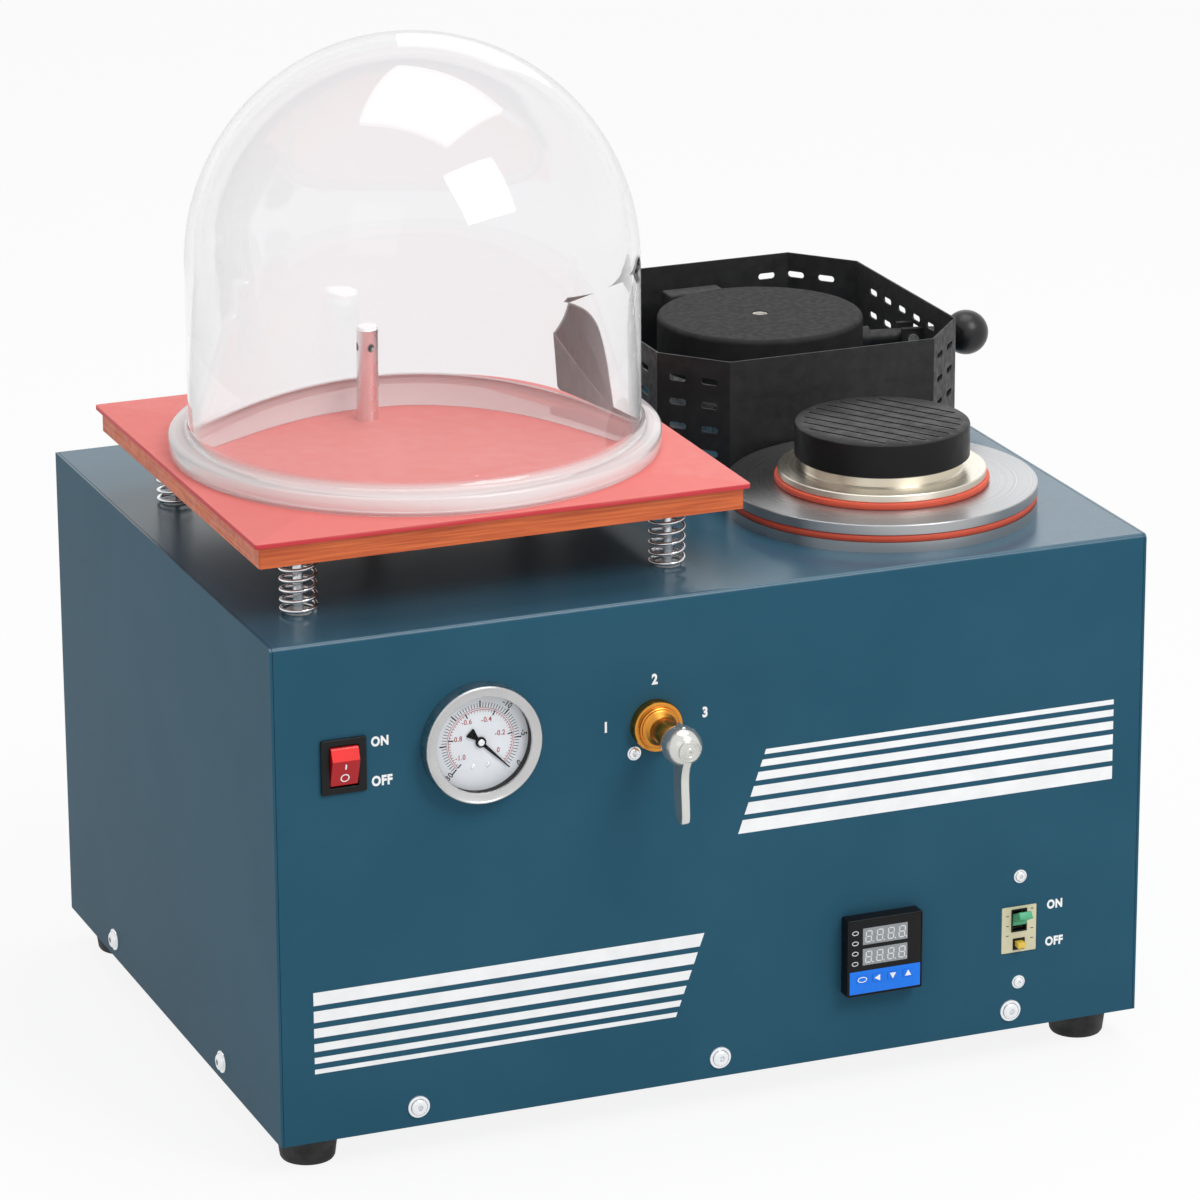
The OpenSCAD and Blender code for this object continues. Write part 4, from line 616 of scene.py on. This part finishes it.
def button_screw(length, scale=1.0):
    """A flanged button screw with a hexagon socket, standing on Z = 0."""
    profile = [(2.0, -length), (2.0, 0), (6.75, 0), (6.75, 0.5), (6.5, 0.95), (5.7, 1.05), (5.25, 1.1),
               (5.1, 1.3), (4.95, 1.9), (4.5, 2.5), (3.8, 2.95), (3.0, 3.17), (2.3, 3.2)]
    rings = [[(0, 0, -length)]] + [circle(r * scale, z * scale if z > 0 else z, 48) for r, z in profile]
    rings += [hexagon(3.4 * scale, z * scale) for z in (3.1, 0.3)]
    return loft(rings + [[(0, 0, 0.2 * scale)]])


def cover_screws():
    """The cover's screws on all four sides, and the long ones under the feet."""
    x_out, y_side, z = 187, (-97, 111), 32
    turn = {"front": Matrix.Rotation(math.pi / 2, 4, "X"), "back": Matrix.Rotation(-math.pi / 2, 4, "X"),
            "left": Matrix.Rotation(-math.pi / 2, 4, "Y"), "right": Matrix.Rotation(math.pi / 2, 4, "Y"),
            "down": Matrix.Rotation(math.pi, 4, "X")}
    places = [at(x, FRONT_Y, z) @ turn["front"] for x in (-x_out, 0, x_out)]
    places += [at(x, BACK_Y, z) @ turn["back"] for x in (-x_out, 0, x_out)]
    places += [at(-SIDE_X, y, z) @ turn["left"] for y in y_side]
    places += [at(SIDE_X, y, z) @ turn["right"] for y in y_side]
    shapes = [moved(button_screw(9), p) for p in places]
    under = [at(x, y, 10) @ turn["down"] for x in (-FOOT_X, FOOT_X) for y in (-FOOT_Y, FOOT_Y)]
    shapes += [moved(button_screw(16), p) for p in under]
    piece("cover_screws", joined(shapes), ZINC, "base", "zinc_steel", replaces=("button_screws",))


def feet():
    profile = [(7.8, 0.4), (13.6, 0), (15.2, 0.5), (16.0, 1.8), (16.3, 4), (17.9, 16.5), (18.3, 17.6),
               (18.5, 20), (2.6, 20), (2.6, 10), (7.8, 10)]
    foot = lathe(profile, 64, True)
    shapes = [moved(foot, at(x, y)) for x in (-FOOT_X, FOOT_X) for y in (-FOOT_Y, FOOT_Y)]
    piece("feet", joined(shapes), RUBBER, "base", "foot_rubber", replaces=("rubber_feet",))


def cabinet():
    for node in ("front_top_panel", "side_panel_left", "side_panel_right", "rear_panel", "base_pan"):
        dress_node(node, PAINT)
    stripes()
    switch_words()
    cover_screws()
    feet()


def dress_node(node, finish):
    """A CAD node keeps its mesh and gets a material."""
    obj = frame["nodes"][node]
    obj.data.materials.clear()
    obj.data.materials.append(finish.material)


# ---- Vacuum table ----

SPRING_OUT = 112
SPRING_AT = [(TABLE[0] + sx * SPRING_OUT, TABLE[1] + sy * SPRING_OUT) for sx in (-1, 1) for sy in (-1, 1)]


def helix(r, low, high, turns, steps=28):
    """A wound wire, which climbs less over the first and last 0.8 of a turn."""
    flat, rise = 0.8, 2.3
    n = int(turns * steps)
    path = []
    for i in range(n + 1):
        t = i / n
        k = min(1, max(0, (t * turns - flat) / (turns - 2 * flat)))
        ramp = rise * min(t * turns, flat) / flat + rise * max(0, t * turns - turns + flat) / flat
        a = 2 * math.pi * turns * t
        path.append((r * math.cos(a), r * math.sin(a), low + ramp + (high - low - 2 * rise) * k))
    return path


def springs():
    """The four springs, which are 39 mm long at rest and 29 mm with the table pressed down."""
    path = helix(9.9, DECK_Z + 1.2, PLATE_Z - 1.2, 6.8)
    shapes = [moved(tube(path, 1.1), at(x, y)) for x, y in SPRING_AT]
    obj = piece("springs", joined(shapes), WIRE, "base", "spring_wire", replaces=("table_springs",),
                angle=60)
    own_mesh(obj)


def table():
    pad = slab(297, 297, 1.5, PAD_Z, TOP_Z, 0.35)
    piece("pad", pad, SILICONE, "table", "silicone_pad", at(*TABLE), replaces=("table_pad",))
    dress_node("table_plate", LAMINATE)
    springs()
    dress_node("guide_bolts", ZINC)
    dress_node("guide_bushes", WHITE_PLASTIC)
    dress_node("vacuum_nipple", POLISHED)
    dress_node("table_port", BRASS)


def jar():
    """The clear jar: a dome on a straight wall, with a rounded foot flange."""
    outer, inner, wall = 131.5, 126.0, 110.5
    foot = [(131.6, 18.4), (132.6, 15.0), (134.6, 12.8), (137.2, 11.9), (138.6, 11.6), (139.5, 11.0),
            (142.4, 10.8), (143.5, 9.6), (143.5, 0.6), (143.0, 0), (inner + 0.6, 0), (inner, 0.6)]
    arcs = [math.pi / 2 * i / 36 for i in range(36)]
    outside = [(outer * math.cos(a), wall + outer * math.sin(a)) for a in reversed(arcs)]
    inside = [(inner * math.cos(a), wall + inner * math.sin(a)) for a in arcs]
    profile = [(0, wall + outer)] + outside + foot + inside + [(0, wall + inner)]
    piece("jar", lathe(profile, 160), ACRYLIC, "jar", "acrylic", at(TABLE[0], TABLE[1], TOP_Z),
          replaces=("bell_jar",), angle=50)


# ---- Power switch ----

def power_switch():
    """The rocker in its frame and housing; the outline's lit facet ends in a crest and slopes to the heel."""
    place = front(*ROCKER)
    surround = piece("switch_frame", slab(27, 32.5, 1.2, 0, 2, 0.7), BLACK, "base", "black_plastic", place)
    cut(surround, slab(17.1, 24.6, 0.4, -3, 4, 0.1), place)
    bevel(surround, 0.25)
    housing = piece("switch_housing", slab(24, 29.5, 1, -22, 0.0, 0.3), BLACK, "base", "black_plastic", place,
                    replaces=("rocker_frame",))
    cut(housing, slab(17.1, 24.6, 0.4, -19, 4, 0.1), place)
    crest, heel = (4.2, 6.2), (-11.0, 1.45)
    side = [(-11.6, 1.0), (-11.2, -3.2), (-4, -7.5), (4, -7.5), (11.2, -1.8), (11.6, 3.2), (10.9, 3.8),
            crest, heel]
    lens = moved(prism(side, -8.2, 8.2), ON_EDGE)
    piece("switch_rocker_lens", lens, RED_LENS, "switch_rocker", "red_lens", place, replaces=("rocker",),
          edge=0.35, angle=12)
    slope = math.atan2(crest[1] - heel[1], crest[0] - heel[0])
    tilt = place @ at(0, *crest) @ Matrix.Rotation(slope, 4, "X")
    mark = prism([(-0.42, -2), (0.42, -2), (0.42, -5.3), (-0.42, -5.3)], 0, INK_T)
    ring = lathe([(2.0, 0), (2.65, 0), (2.65, INK_T), (2.0, INK_T)], 48, True)
    marks = joined([mark, moved(ring, at(0, -11.2, 0.02))])
    piece("switch_marks", marks, WHITE_INK, "switch_rocker", "red_lens", tilt)


# ---- Vacuum gauge ----

# Where the scales start, and how far round they run, in degrees
ZERO = -45
SWEEP = 270


# Text and place of each number; the outer ones also have a turn in degrees
RED_MARKS = [("0", 10.6, -6.1), ("-0.2", 11.8, 4.0), ("-0.4", 3.8, 13.0), ("-0.6", -8.1, 12.8),
             ("-0.8", -14.0, 3.4), ("-1.0", -12.1, -7.8)]
BLACK_MARKS = [("0", 23.0, -15.6, 30), ("-5", 26.2, 2.2, -85), ("-10", 16.5, 20.6, -39),
               ("-30", -19.6, -18.7, 45)]


def gauge_tick(angle, r0, r1, width):
    """A radial mark on the dial; the angle runs from the dial's right, counterclockwise."""
    turn = Matrix.Rotation(math.radians(angle), 4, "Z")
    bar = [(r0, -width / 2), (r1, -width / 2), (r1, width / 2), (r0, width / 2)]
    return moved(prism(bar, 0, 0.08), turn)


def gauge_marks():
    """The dial's two scales, whose zero is at the needle's rest."""
    place = front(*GAUGE) @ at(0, 0, 2.0)
    outer = [gauge_tick(ZERO + 4.5 * i, 20.6, 23.4 if i % 10 else 24.6, 0.34 if i % 10 else 0.75)
             for i in range(61)]
    inner_major = [gauge_tick(ZERO + 54 * i, 16.6, 19.6, 0.7) for i in range(6)]
    piece("dial_marks", joined(outer + inner_major), DARK_INK, "base", "dial_white", place)
    arc = [math.radians(ZERO + SWEEP * i / 90) for i in range(91)]
    bands = []
    for r in (20.3, 19.3):
        band = [(r * math.cos(a), r * math.sin(a)) for a in arc]
        band += [((r - 0.28) * math.cos(a), (r - 0.28) * math.sin(a)) for a in reversed(arc)]
        bands.append(prism(band, 0, 0.07))
    inner = [gauge_tick(ZERO + 5.4 * i, 17.9, 19.2, 0.28) for i in range(51) if i % 10]
    piece("dial_arc", joined(bands + inner), RED_INK, "base", "dial_white", place)
    for i, (text, x, y) in enumerate(RED_MARKS):
        spot = place @ at(x, y)
        lettering(f"dial_red_{i}", text, 3.1, RED_INK, "dial_white", spot, 0.07, 0.012, True, 0.86)
    for i, (text, x, y, turn) in enumerate(BLACK_MARKS):
        spot = place @ at(x, y) @ Matrix.Rotation(math.radians(turn), 4, "Z")
        lettering(f"dial_black_{i}", text, 3.6, DARK_INK, "dial_white", spot, 0.07, 0.012, True, 0.86)
    screws = [moved(button_screw(0.5, 0.25), at(x, -14.2)) for x in (-4.6, 4.6)]
    piece("dial_screws", joined(screws), ZINC, "base", "gauge_steel", place)


def gauge():
    """The gauge's steel case with its gasket, dial, lens and needle."""
    place = front(*GAUGE)
    profile = [(30.9, 1.0), (33.6, 0), (35, 0.2), (35, 8.2), (34.8, 9.2), (34.2, 9.8), (33.5, 9.9),
               (33.0, 9.5), (29.6, 9.1), (28.8, 8.8), (28.5, 8.2), (28.4, 7.9), (30.9, 7.7)]
    piece("gauge_bezel", lathe(profile, 128, True), BEZEL, "base", "gauge_steel", place)
    gasket = [(28.7, 2.1), (30.8, 2.1), (30.8, 7.8), (29.3, 7.8), (28.6, 7.2)]
    piece("gauge_gasket", lathe(gasket, 96, True), RUBBER, "base", "foot_rubber", place)
    back = [(0, -28), (30.2, -28), (31, -27.2), (31, 0.2), (29, 0.2), (29, -26), (0, -26)]
    stem = [(0, -43), (4, -43), (5.0, -41), (5.0, -28), (0, -28)]
    piece("gauge_back", joined([lathe(back), lathe(stem, 48)]), BEZEL, "base", "gauge_steel", place,
          replaces=("gauge_case",))
    dress_node("gauge_dial", DIAL_WHITE)
    dress_node("gauge_lens", LENS)
    gauge_marks()
    down = place @ at(0, 0, 2.5) @ Matrix.Rotation(math.radians(ZERO), 4, "Z")
    blade = prism([(-3, -0.9), (4, -1.0), (22, -0.3), (22.4, 0), (22, 0.3), (4, 1.0), (-3, 0.9),
                   (-8.8, 3.0), (-9.4, 2.6), (-9.4, -2.6), (-8.8, -3.0)], 0, 0.5)
    boss = lathe([(0, -0.2), (3.1, -0.2), (3.1, 0.7), (2.7, 1.0), (0, 1.0)], 40)
    pin = lathe([(0, -3), (1.0, -3), (1.0, 0.2), (0, 0.2)], 24)
    piece("needle_blade", joined([blade, boss, pin]), DARK_INK, "needle", "needle_black", down,
          replaces=("gauge_needle",))
    cap = lathe([(0, 0.9), (2.0, 0.9), (2.0, 1.3), (1.7, 1.6), (0.5, 1.7), (0.35, 1.3), (0, 1.3)], 40)
    piece("needle_hub", cap, ZINC, "needle", "gauge_steel", down)


# ---- Valve ----

HUB_OUT = 40


def lever_piece(name, shape, up=0, **settings):
    """A chromed piece of the valve's lever, measured from the middle of its hub."""
    place = front(*VALVE) @ at(0, 0, HUB_OUT) @ at(0, up, 0)
    piece(name, shape, CHROME, "valve_handle", "chromed_brass", place, **settings)


def valve():
    """The three-way valve's rosette, lever and cap."""
    rose = [(5.2, 0), (15, 0), (15, 5.2), (14.6, 6.0), (13.6, 6.4), (12.6, 6.4), (12.3, 6.9), (12.1, 8.0),
            (11.5, 8.5), (10.8, 8.3), (10.2, 8.6), (9.2, 10.4), (8.2, 11.6), (7.6, 12.6), (7.4, 13.6),
            (7.4, 27.4), (7.0, 28.0), (5.2, 28.0)]
    piece("rosette", lathe(rose, 96, True), BRASS, "base", "brass", front(*VALVE),
          replaces=("valve_rosette",))
    hub = [(0, -11.2), (6.2, -11.2), (7.4, -10.9), (7.6, -9.6), (8.6, -9.2), (9.9, -7.6), (11.1, -4.4),
           (11.5, -0.6), (11.3, 2.4), (10.4, 5.2), (8.9, 7.6), (7.4, 9.1), (6.6, 9.6), (6.3, 10.0), (0, 10.0)]
    lever_piece("lever_hub", lathe(hub, 96))
    side = [(-3.5, 9.8), (-7.6, 9.2), (-11.5, 7.2), (-15.5, 5.9), (-20, 5.5), (-27, 5.9), (-35, 6.7),
            (-41, 7.0), (-44.3, 6.4), (-45.9, 4.4), (-46.0, 1.5), (-45.2, -2.0), (-43, -4.2), (-38, -5.4),
            (-30, -6.6), (-22, -7.0), (-15, -7.6), (-10.5, -8.9), (-5, -9.6)]
    lever_piece("lever_arm", moved(prism(side, -2.5, 2.5), ON_EDGE), replaces=("valve_lever",), edge=0.9)
    lever_piece("lever_pointer", slab(2.6, 7.4, 0.8, -6, 3.4, 0.8), up=8.4)
    cap = [(0, 9.9), (6.1, 9.9), (6.3, 10.4), (6.3, 11.4), (5.9, 11.9), (5.2, 11.95), (4.9, 11.6),
           (4.3, 11.6), (4.0, 11.95), (3.1, 12.0), (2.8, 11.75), (2.2, 11.75), (1.9, 12.0), (0.9, 12.0),
           (0.7, 11.2), (0, 11.2)]
    lever_piece("lever_cap_disc", lathe(cap, 64), replaces=("lever_cap",))
    dress_node("valve_plug", CHROME)
    dress_node("valve_body", BRASS)


def small_screws():
    """The screws above and below the breaker, and the one beside the valve."""
    x, z = BREAKER
    apart = 33.5
    places = [front(x, z + apart), front(x, z - apart), front(*LONE_SCREW)]
    screw = joined([button_screw(1, 0.63), lathe([(0, -7), (1.5, -7), (1.5, 0), (0, 0)], 24)])
    piece("small_screws", joined([moved(screw, p) for p in places]), ZINC, "base", "zinc_steel",
          replaces=("panel_screws",))


# ---- Controller ----

# Place of each segment of a digit in half widths and quarter heights, and whether it stands upright
SEGMENTS = [(0, 2, 0), (0, 0, 0), (0, -2, 0), (-1, 1, 1), (1, 1, 1), (-1, -1, 1), (1, -1, 1)]
# How far the frame, the face and the underside of the face's plate are in front of the panel
CASE_OUT = 9.5
FACE_OUT = 9.3
PLATE_LOW = 7.7
KEYS = (("key_set", "set_key"), ("key_shift", "shift_key"), ("key_down", "down_key"), ("key_up", "up_key"))
KEY_STEP = 9.8
KEY_Y = -13.5


def digit():
    """The seven unlit segments and the point of one display digit, 5.4 high."""
    shapes = []
    for x, y, upright in SEGMENTS:
        w, h = (0.5, 2.2) if upright else (2.0, 0.5)
        bar = [(-w / 2, -h / 2), (w / 2, -h / 2), (w / 2, h / 2), (-w / 2, h / 2)]
        spot = (x * 1.35 + 0.12 * y, y * 1.28)
        shapes.append(moved(prism(bar, 0, 0.06), at(*spot)))
    point = [(-0.3, -0.3), (0.3, -0.3), (0.3, 0.3), (-0.3, 0.3)]
    shapes.append(moved(prism(point, 0, 0.06), at(2.1, -2.6)))
    return joined(shapes)


def display(place):
    """Two rows of four digits behind grey windows, with four oval lamps at their left."""
    windows = [moved(slab(28.6, 10.3, 0.2, 0, 0.15, 0.05), at(-0.1, y)) for y in (13.2, 0.4)]
    piece("display_windows", joined(windows), WINDOW, "base", "face_black", place)
    big = Matrix.Scale(1.32, 4)
    digits = [moved(digit(), at(-10.6 + 7.1 * i, y, 0.15) @ big) for i in range(4) for y in (13.1, 0.3)]
    piece("display_digits", joined(digits), SEGMENT, "base", "face_black", place)
    lamps = [moved(oval(2.1, 1.4, 0.45), at(-19.2, y)) for y in (16.0, 9.6, 3.2, -3.2)]
    piece("display_lamps", joined(lamps), SEGMENT, "base", "face_black", place)


def oval(a, b, wide, thick=0.08):
    """A flat oval ring."""
    sides = 40
    steps = [2 * math.pi * i / sides for i in range(sides)]
    rings = []
    for shrink, z in ((0, 0), (0, thick), (wide, thick), (wide, 0)):
        rings.append([((a - shrink) * math.cos(t), (b - shrink) * math.sin(t), z) for t in steps])
    return loft(rings, True)


def controller():
    """The 48 mm square controller with its display, its blue strip and four keys."""
    place = front(*CONTROL)
    block = slab(48, 48, 1.0, 0, CASE_OUT, 0.5)
    case = piece("controller_frame", block, BLACK, "base", "black_plastic", place)
    cut(case, slab(46.6, 46.6, 0.5, PLATE_LOW, 12, 0.05), place)
    bevel(case, 0.2)
    piece("controller_box", slab(44.5, 44.5, 1.5, -75, 0, 0.8), BLACK, "base", "black_plastic", place,
          replaces=("controller_case",))
    face = place @ at(0, 0, FACE_OUT)
    plate = piece("controller_plate", slab(46.2, 46.2, 0.4, PLATE_LOW, FACE_OUT, 0.15), GLOSS_BLACK, "base",
                  "face_black", place, replaces=("controller_face",))
    strip = piece("key_strip", slab(45.2, 14.2, 0.3, 0, 0.14, 0.05), BLUE, "base", "key_blue",
                  face @ at(0, -15.3))
    for i, (node, body) in enumerate(KEYS):
        cap = face @ at((i - 1.5) * KEY_STEP, KEY_Y)
        for target in (plate, strip):
            cut(target, slab(6.7, 4.7, 0.6, -2, 2, 0.05), cap)
        piece(node + "_cap", slab(6.5, 4.5, 0.6, -0.5, 0.5, 0.2), BLUE, body, "key_blue", cap,
              replaces=(node,))
        piece(node + "_sign", key_sign(i), WHITE_INK, body, "key_blue", cap @ at(0, 0, 0.49))
    display(face)


def key_sign(i):
    """The white sign on a key: an oval, or a triangle to the left, down or up."""
    if i == 0:
        return oval(3.0, 1.75, 0.5, 0.1)
    turn = (0, math.pi / 2, math.pi, 0)[i]
    triangle = prism([(-2.0, -1.6), (2.0, -1.6), (0, 2.0)], 0, 0.1)
    return moved(triangle, Matrix.Rotation(turn, 4, "Z"))


# ---- Breaker ----

def breaker():
    """The breaker with its toggle and test key in two wells."""
    place = front(*BREAKER)
    face = piece("breaker_face", slab(22.6, 29, 0.5, -2.5, 0.05, 0.25), CREAM, "base", "cream_plastic", place)
    box = piece("breaker_box", slab(26, 74, 1.2, -59.5, -1.5, 0.8), CREAM, "base", "cream_plastic", place,
                replaces=("breaker_body",))
    wells = (prism([(-5.2, -1.6), (5.2, -1.6), (5.2, 12.9), (-5.2, 12.9)], -9, 1),
             prism([(-4, -13), (4, -13), (4, -5.6), (-4, -5.6)], -4.4, 1))
    for well in wells:
        cut(face, well, place)
        cut(box, well, place)
    well_y = 5.65
    linings = [frame_ring(10.2, 14.3, 0.9, well_y), frame_ring(7.8, 7.2, 1.1, -9.3)]
    linings.append(moved(slab(10.2, 14.3, 0.4, -9, -8.7, 0.1), at(0, well_y)))
    piece("breaker_wells", joined(linings), BLACK, "base", "black_plastic", place)
    drum = place @ at(0, 5.5, -2)
    drum_r = 3.6
    turns = [math.radians(a) for a in range(0, 360, 15)]
    arc = [(drum_r * math.cos(a), drum_r * math.sin(a)) for a in turns]
    roll = moved(prism(arc, -4.4, 4.4), Matrix.Rotation(math.pi / 2, 4, "Y"))
    grip = moved(slab(8.6, 4.6, 0.8, 3, 12.9, 0.8), Matrix.Rotation(math.radians(-30), 4, "X"))
    piece("toggle_grip", joined([roll, grip]), GREEN, "toggle", "green_plastic", drum,
          replaces=("breaker_toggle",))
    piece("test_key_cap", slab(5, 3.6, 0.5, -2.8, 4.6, 0.25), YELLOW, "test_key", "yellow_plastic",
          place @ at(0, -9), replaces=("breaker_button",))
    dash = prism([(-0.9, -0.22), (0.9, -0.22), (0.9, 0.22), (-0.9, 0.22)], 0, 0.06)
    marks = [moved(dash, at(-7.6 if k % 2 else 8.4, 12 - 3.1 * k)) for k in range(7)]
    piece("breaker_marks", joined(marks), DARK_INK, "base", "cream_plastic", place @ at(0, 0, 0.05))


def frame_ring(w, h, wall, y):
    """A thin black lining round a rectangular well, centred at height y."""
    def ring(inset, z):
        return rounded(w - 2 * inset, h - 2 * inset, 0.4, z)
    rings = [ring(0, -3.5), ring(0, 0.25), ring(wall * 0.3, 0.4), ring(wall, 0.4), ring(wall, -3.5)]
    return moved(loft(rings, True), at(0, y))


# ---- Casting station ----

def disc(r_out, r_in, z0, z1):
    """A ring with bevelled rims."""
    edge = 0.5
    profile = [(r_in, z0 + edge), (r_in + edge, z0), (r_out - edge, z0), (r_out, z0 + edge),
               (r_out, z1 - edge), (r_out - edge, z1), (r_in + edge, z1), (r_in, z1 - edge)]
    return lathe(profile, 160, True)


def bulged(r_out, r_in, z0, z1):
    """A gasket whose rims bulge a little under the load."""
    mid, h = (z0 + z1) / 2, (z1 - z0) / 2
    bows = [(math.cos(math.radians(v)), math.sin(math.radians(v))) for v in range(-90, 91, 30)]
    profile = [(r_out - 1.0 + c, mid + h * s) for c, s in bows]
    profile += [(r_in + 1.0 - c, mid + h * s) for c, s in reversed(bows)]
    return lathe(profile, 160, True)


def flask_pad():
    """The black pad with nine slots across it, which end on a circle."""
    slot_step, slots_r, top = 9.5, 46.5, 370.7
    place = at(*CAST)
    rim = [(0, SEAT_TOP), (50.9, SEAT_TOP), (51.9, SEAT_TOP + 0.8), (51.9, 369.4), (51.6, 370.2),
           (50.8, top), (0, top)]
    pad = piece("flask_pad_disc", lathe(rim, 128), PAD_BLACK, "seat", "pad_black", place,
                replaces=("flask_pad",))
    turn = place @ Matrix.Rotation(math.radians(-57), 4, "Z")
    slots = []
    for i in range(-4, 5):
        half = math.sqrt(slots_r ** 2 - (i * slot_step) ** 2)
        slots.append(moved(slab(2 * half, 1.6, 0.7, SEAT_TOP - 1, 372, 0.05), at(0, i * slot_step)))
    cut(pad, joined(slots), turn)
    bevel(pad, 0.25)


def casting():
    """The chamber's stack: large gasket, adapter, small gasket, seat and pad."""
    place = at(*CAST)
    dress_node("casting_chamber", TURNED)
    piece("adapter_disc", disc(92.3, 45, LARGE_TOP, ADAPTER_TOP), TURNED, "adapter", "stainless", place,
          replaces=("adapter_plate",))
    piece("gasket_large", bulged(92.2, 63.5, FLANGE_TOP, LARGE_TOP), GASKET, "base", "gasket_red", place,
          replaces=("large_gasket",))
    piece("gasket_small", bulged(63.8, 46, ADAPTER_TOP, SMALL_TOP), GASKET, "adapter", "gasket_red", place,
          replaces=("small_gasket",))
    seat = [(40, SMALL_TOP), (61.3, SMALL_TOP), (61.8, SMALL_TOP + 0.5), (61.8, RIM_TOP - 0.5),
            (61.3, RIM_TOP),
            (48.4, RIM_TOP), (47.6, RIM_TOP + 0.8), (47.6, SEAT_TOP - 0.4), (47.2, SEAT_TOP), (40, SEAT_TOP)]
    piece("seat_disc", lathe(seat, 160, True), SEAT_STEEL, "seat", "stainless", place,
          replaces=("flask_seat",))
    flask_pad()


# ---- Furnace ----

def furnace():
    for node, finish in (("furnace_guard", BLACK_PAINT), ("furnace_lining", FIBRE),
                         ("crucible", GRAPHITE), ("thermocouple", STEEL), ("furnace_lid", LID_PAINT),
                         ("lid_lining", FIBRE), ("lid_rod", BLACK_PAINT), ("ball_knob", KNOB),
                         ("pivot_lugs", BLACK_PAINT), ("pivot_pin", ZINC)):
        dress_node(node, finish)
    coil = helix(36.55, 204, 298, 12.0, 40)
    piece("coil", tube(coil, 1.0), ELEMENT, "base", "element_wire", at(*FURNACE),
          replaces=("heating_coil",), angle=60)


def furnace_can():
    """The shell with its flange on the deck, the terminal box behind it and the collar in the lid's hole."""
    place = at(*FURNACE)
    can = [(0, 168.5), (64, 168.5), (65, 169.5), (65, 318.4), (70, 318.4), (70, 320.2), (69.7, 320.5),
           (65.6, 320.5), (65, 321.1), (65, 352.9), (64.6, 353.5), (63.9, 353.5), (63.5, 353.1), (63.5, 170),
           (0, 170)]
    piece("shell_can", lathe(can, 128), STEEL, "base", "stainless", place)
    piece("terminal_block", slab(38, 15, 1.5, DECK_Z, 378.5, 1.2), BLACK_PAINT, "base", "black_paint",
          place @ at(-10, 83), replaces=("furnace_shell",))
    collar = [(4.1, 354), (4.9, 354), (4.9, 382.6), (4.6, 383.2), (4.1, 383.0)]
    piece("lid_collar", lathe(collar, 48, True), FIBRE, "lid", "ceramic_fibre", place)


# ---- Inside and rear ----

def inside():
    for node, finish in (("pump_case", CAST_METAL), ("pump_motor", CAST_METAL), ("pump_fan", FAN_PLASTIC),
                         ("vacuum_pipes", HOSE), ("exhaust_pipe", HOSE), ("power_inlet", BLACK)):
        dress_node(node, finish)


# ---- Light, floor and camera ----

# The kinds of ray that see the white background
SEEN_RAYS = ("Is Camera Ray", "Is Glossy Ray", "Is Transmission Ray")


def world():
    """Plain light on the object, and white for what is seen past it, also in metal and glass."""
    sky = bpy.data.worlds.new("studio")
    bpy.context.scene.world = sky
    sky.use_nodes = True
    tree = sky.node_tree
    level = tree.nodes.new("ShaderNodeMapRange")
    level.inputs["To Min"].default_value = 0.55
    level.inputs["To Max"].default_value = 1.0
    tree.links.new(any_ray(tree, *SEEN_RAYS), level.inputs["Value"])
    background = tree.nodes["Background"]
    background.inputs["Color"].default_value = (1, 1, 1, 1)
    tree.links.new(level.outputs["Result"], background.inputs["Strength"])


def lamp(name, location, target, size, watts):
    """A square soft light that looks at a target."""
    data = bpy.data.lights.new(name, "AREA")
    data.shape = "SQUARE"
    data.size = size
    data.energy = watts
    obj = placed(name, data)
    obj.location = location
    obj.rotation_euler = (Vector(target) - Vector(location)).to_track_quat("-Z", "Y").to_euler()


def floor():
    """A pale floor, mostly plain white where it is seen, so that only the object's shadow shows on it."""
    size, white_share = 6, 0.88
    data = bpy.data.meshes.new("floor")
    points = [(-size, -size, 0), (size, -size, 0), (size, size, 0), (-size, size, 0)]
    data.from_pydata(points, [], [(0, 1, 2, 3)])
    f = Finish("floor", (0.86, 0.86, 0.86, 1), 0.9)
    f.rough(f.noise(300, 2), 0.85, 0.95)
    glow = f.add("ShaderNodeEmission", {"Color": (1, 1, 1, 1), "Strength": 1.0})
    seen = {0: any_ray(f.tree, *SEEN_RAYS), 1: white_share}
    f.show_over(glow, f.add("ShaderNodeMath", seen, operation="MULTIPLY").outputs[0])
    data.materials.append(f.material)
    placed("floor", data)


def camera():
    """The photograph's view, as fitted to the cabinet's edges."""
    turn, rise, roll = math.radians(-21.8525), math.radians(18.37486), math.radians(-0.2905)
    back = Vector((math.sin(turn) * math.cos(rise), -math.cos(turn) * math.cos(rise), math.sin(rise)))
    right = (-back).cross(Vector((0, 0, 1))).normalized()
    up = right.cross(-back)
    x = math.cos(roll) * right + math.sin(roll) * up
    y = -math.sin(roll) * right + math.cos(roll) * up
    data = bpy.data.cameras.new("view")
    data.lens = 173.846
    data.sensor_width = 36
    obj = placed("view", data)
    stand = Matrix.Translation((-1.2245, -3.0717, 1.349))
    obj.matrix_world = stand @ Matrix((x, y, back)).transposed().to_4x4()
    bpy.context.scene.camera = obj


camera()
cabinet()
table()
jar()
power_switch()
gauge()
valve()
small_screws()
controller()
breaker()
casting()
furnace()
furnace_can()
inside()
world()
lamp("key", (0.9, -2.0, 2.5), (0, 0, 0.3), 1.4, 40)
lamp("fill", (-2.2, -2.4, 2.2), (0, 0, 0.25), 1.6, 2)
lamp("top", (0.3, 0.3, 2.8), (0, 0, 0.3), 1.8, 24)
lamp("rim", (1.9, 3.6, 1.9), (0.1, 0, 0.3), 1.6, 4)
floor()
bpy.context.scene.view_settings.view_transform = "Standard"
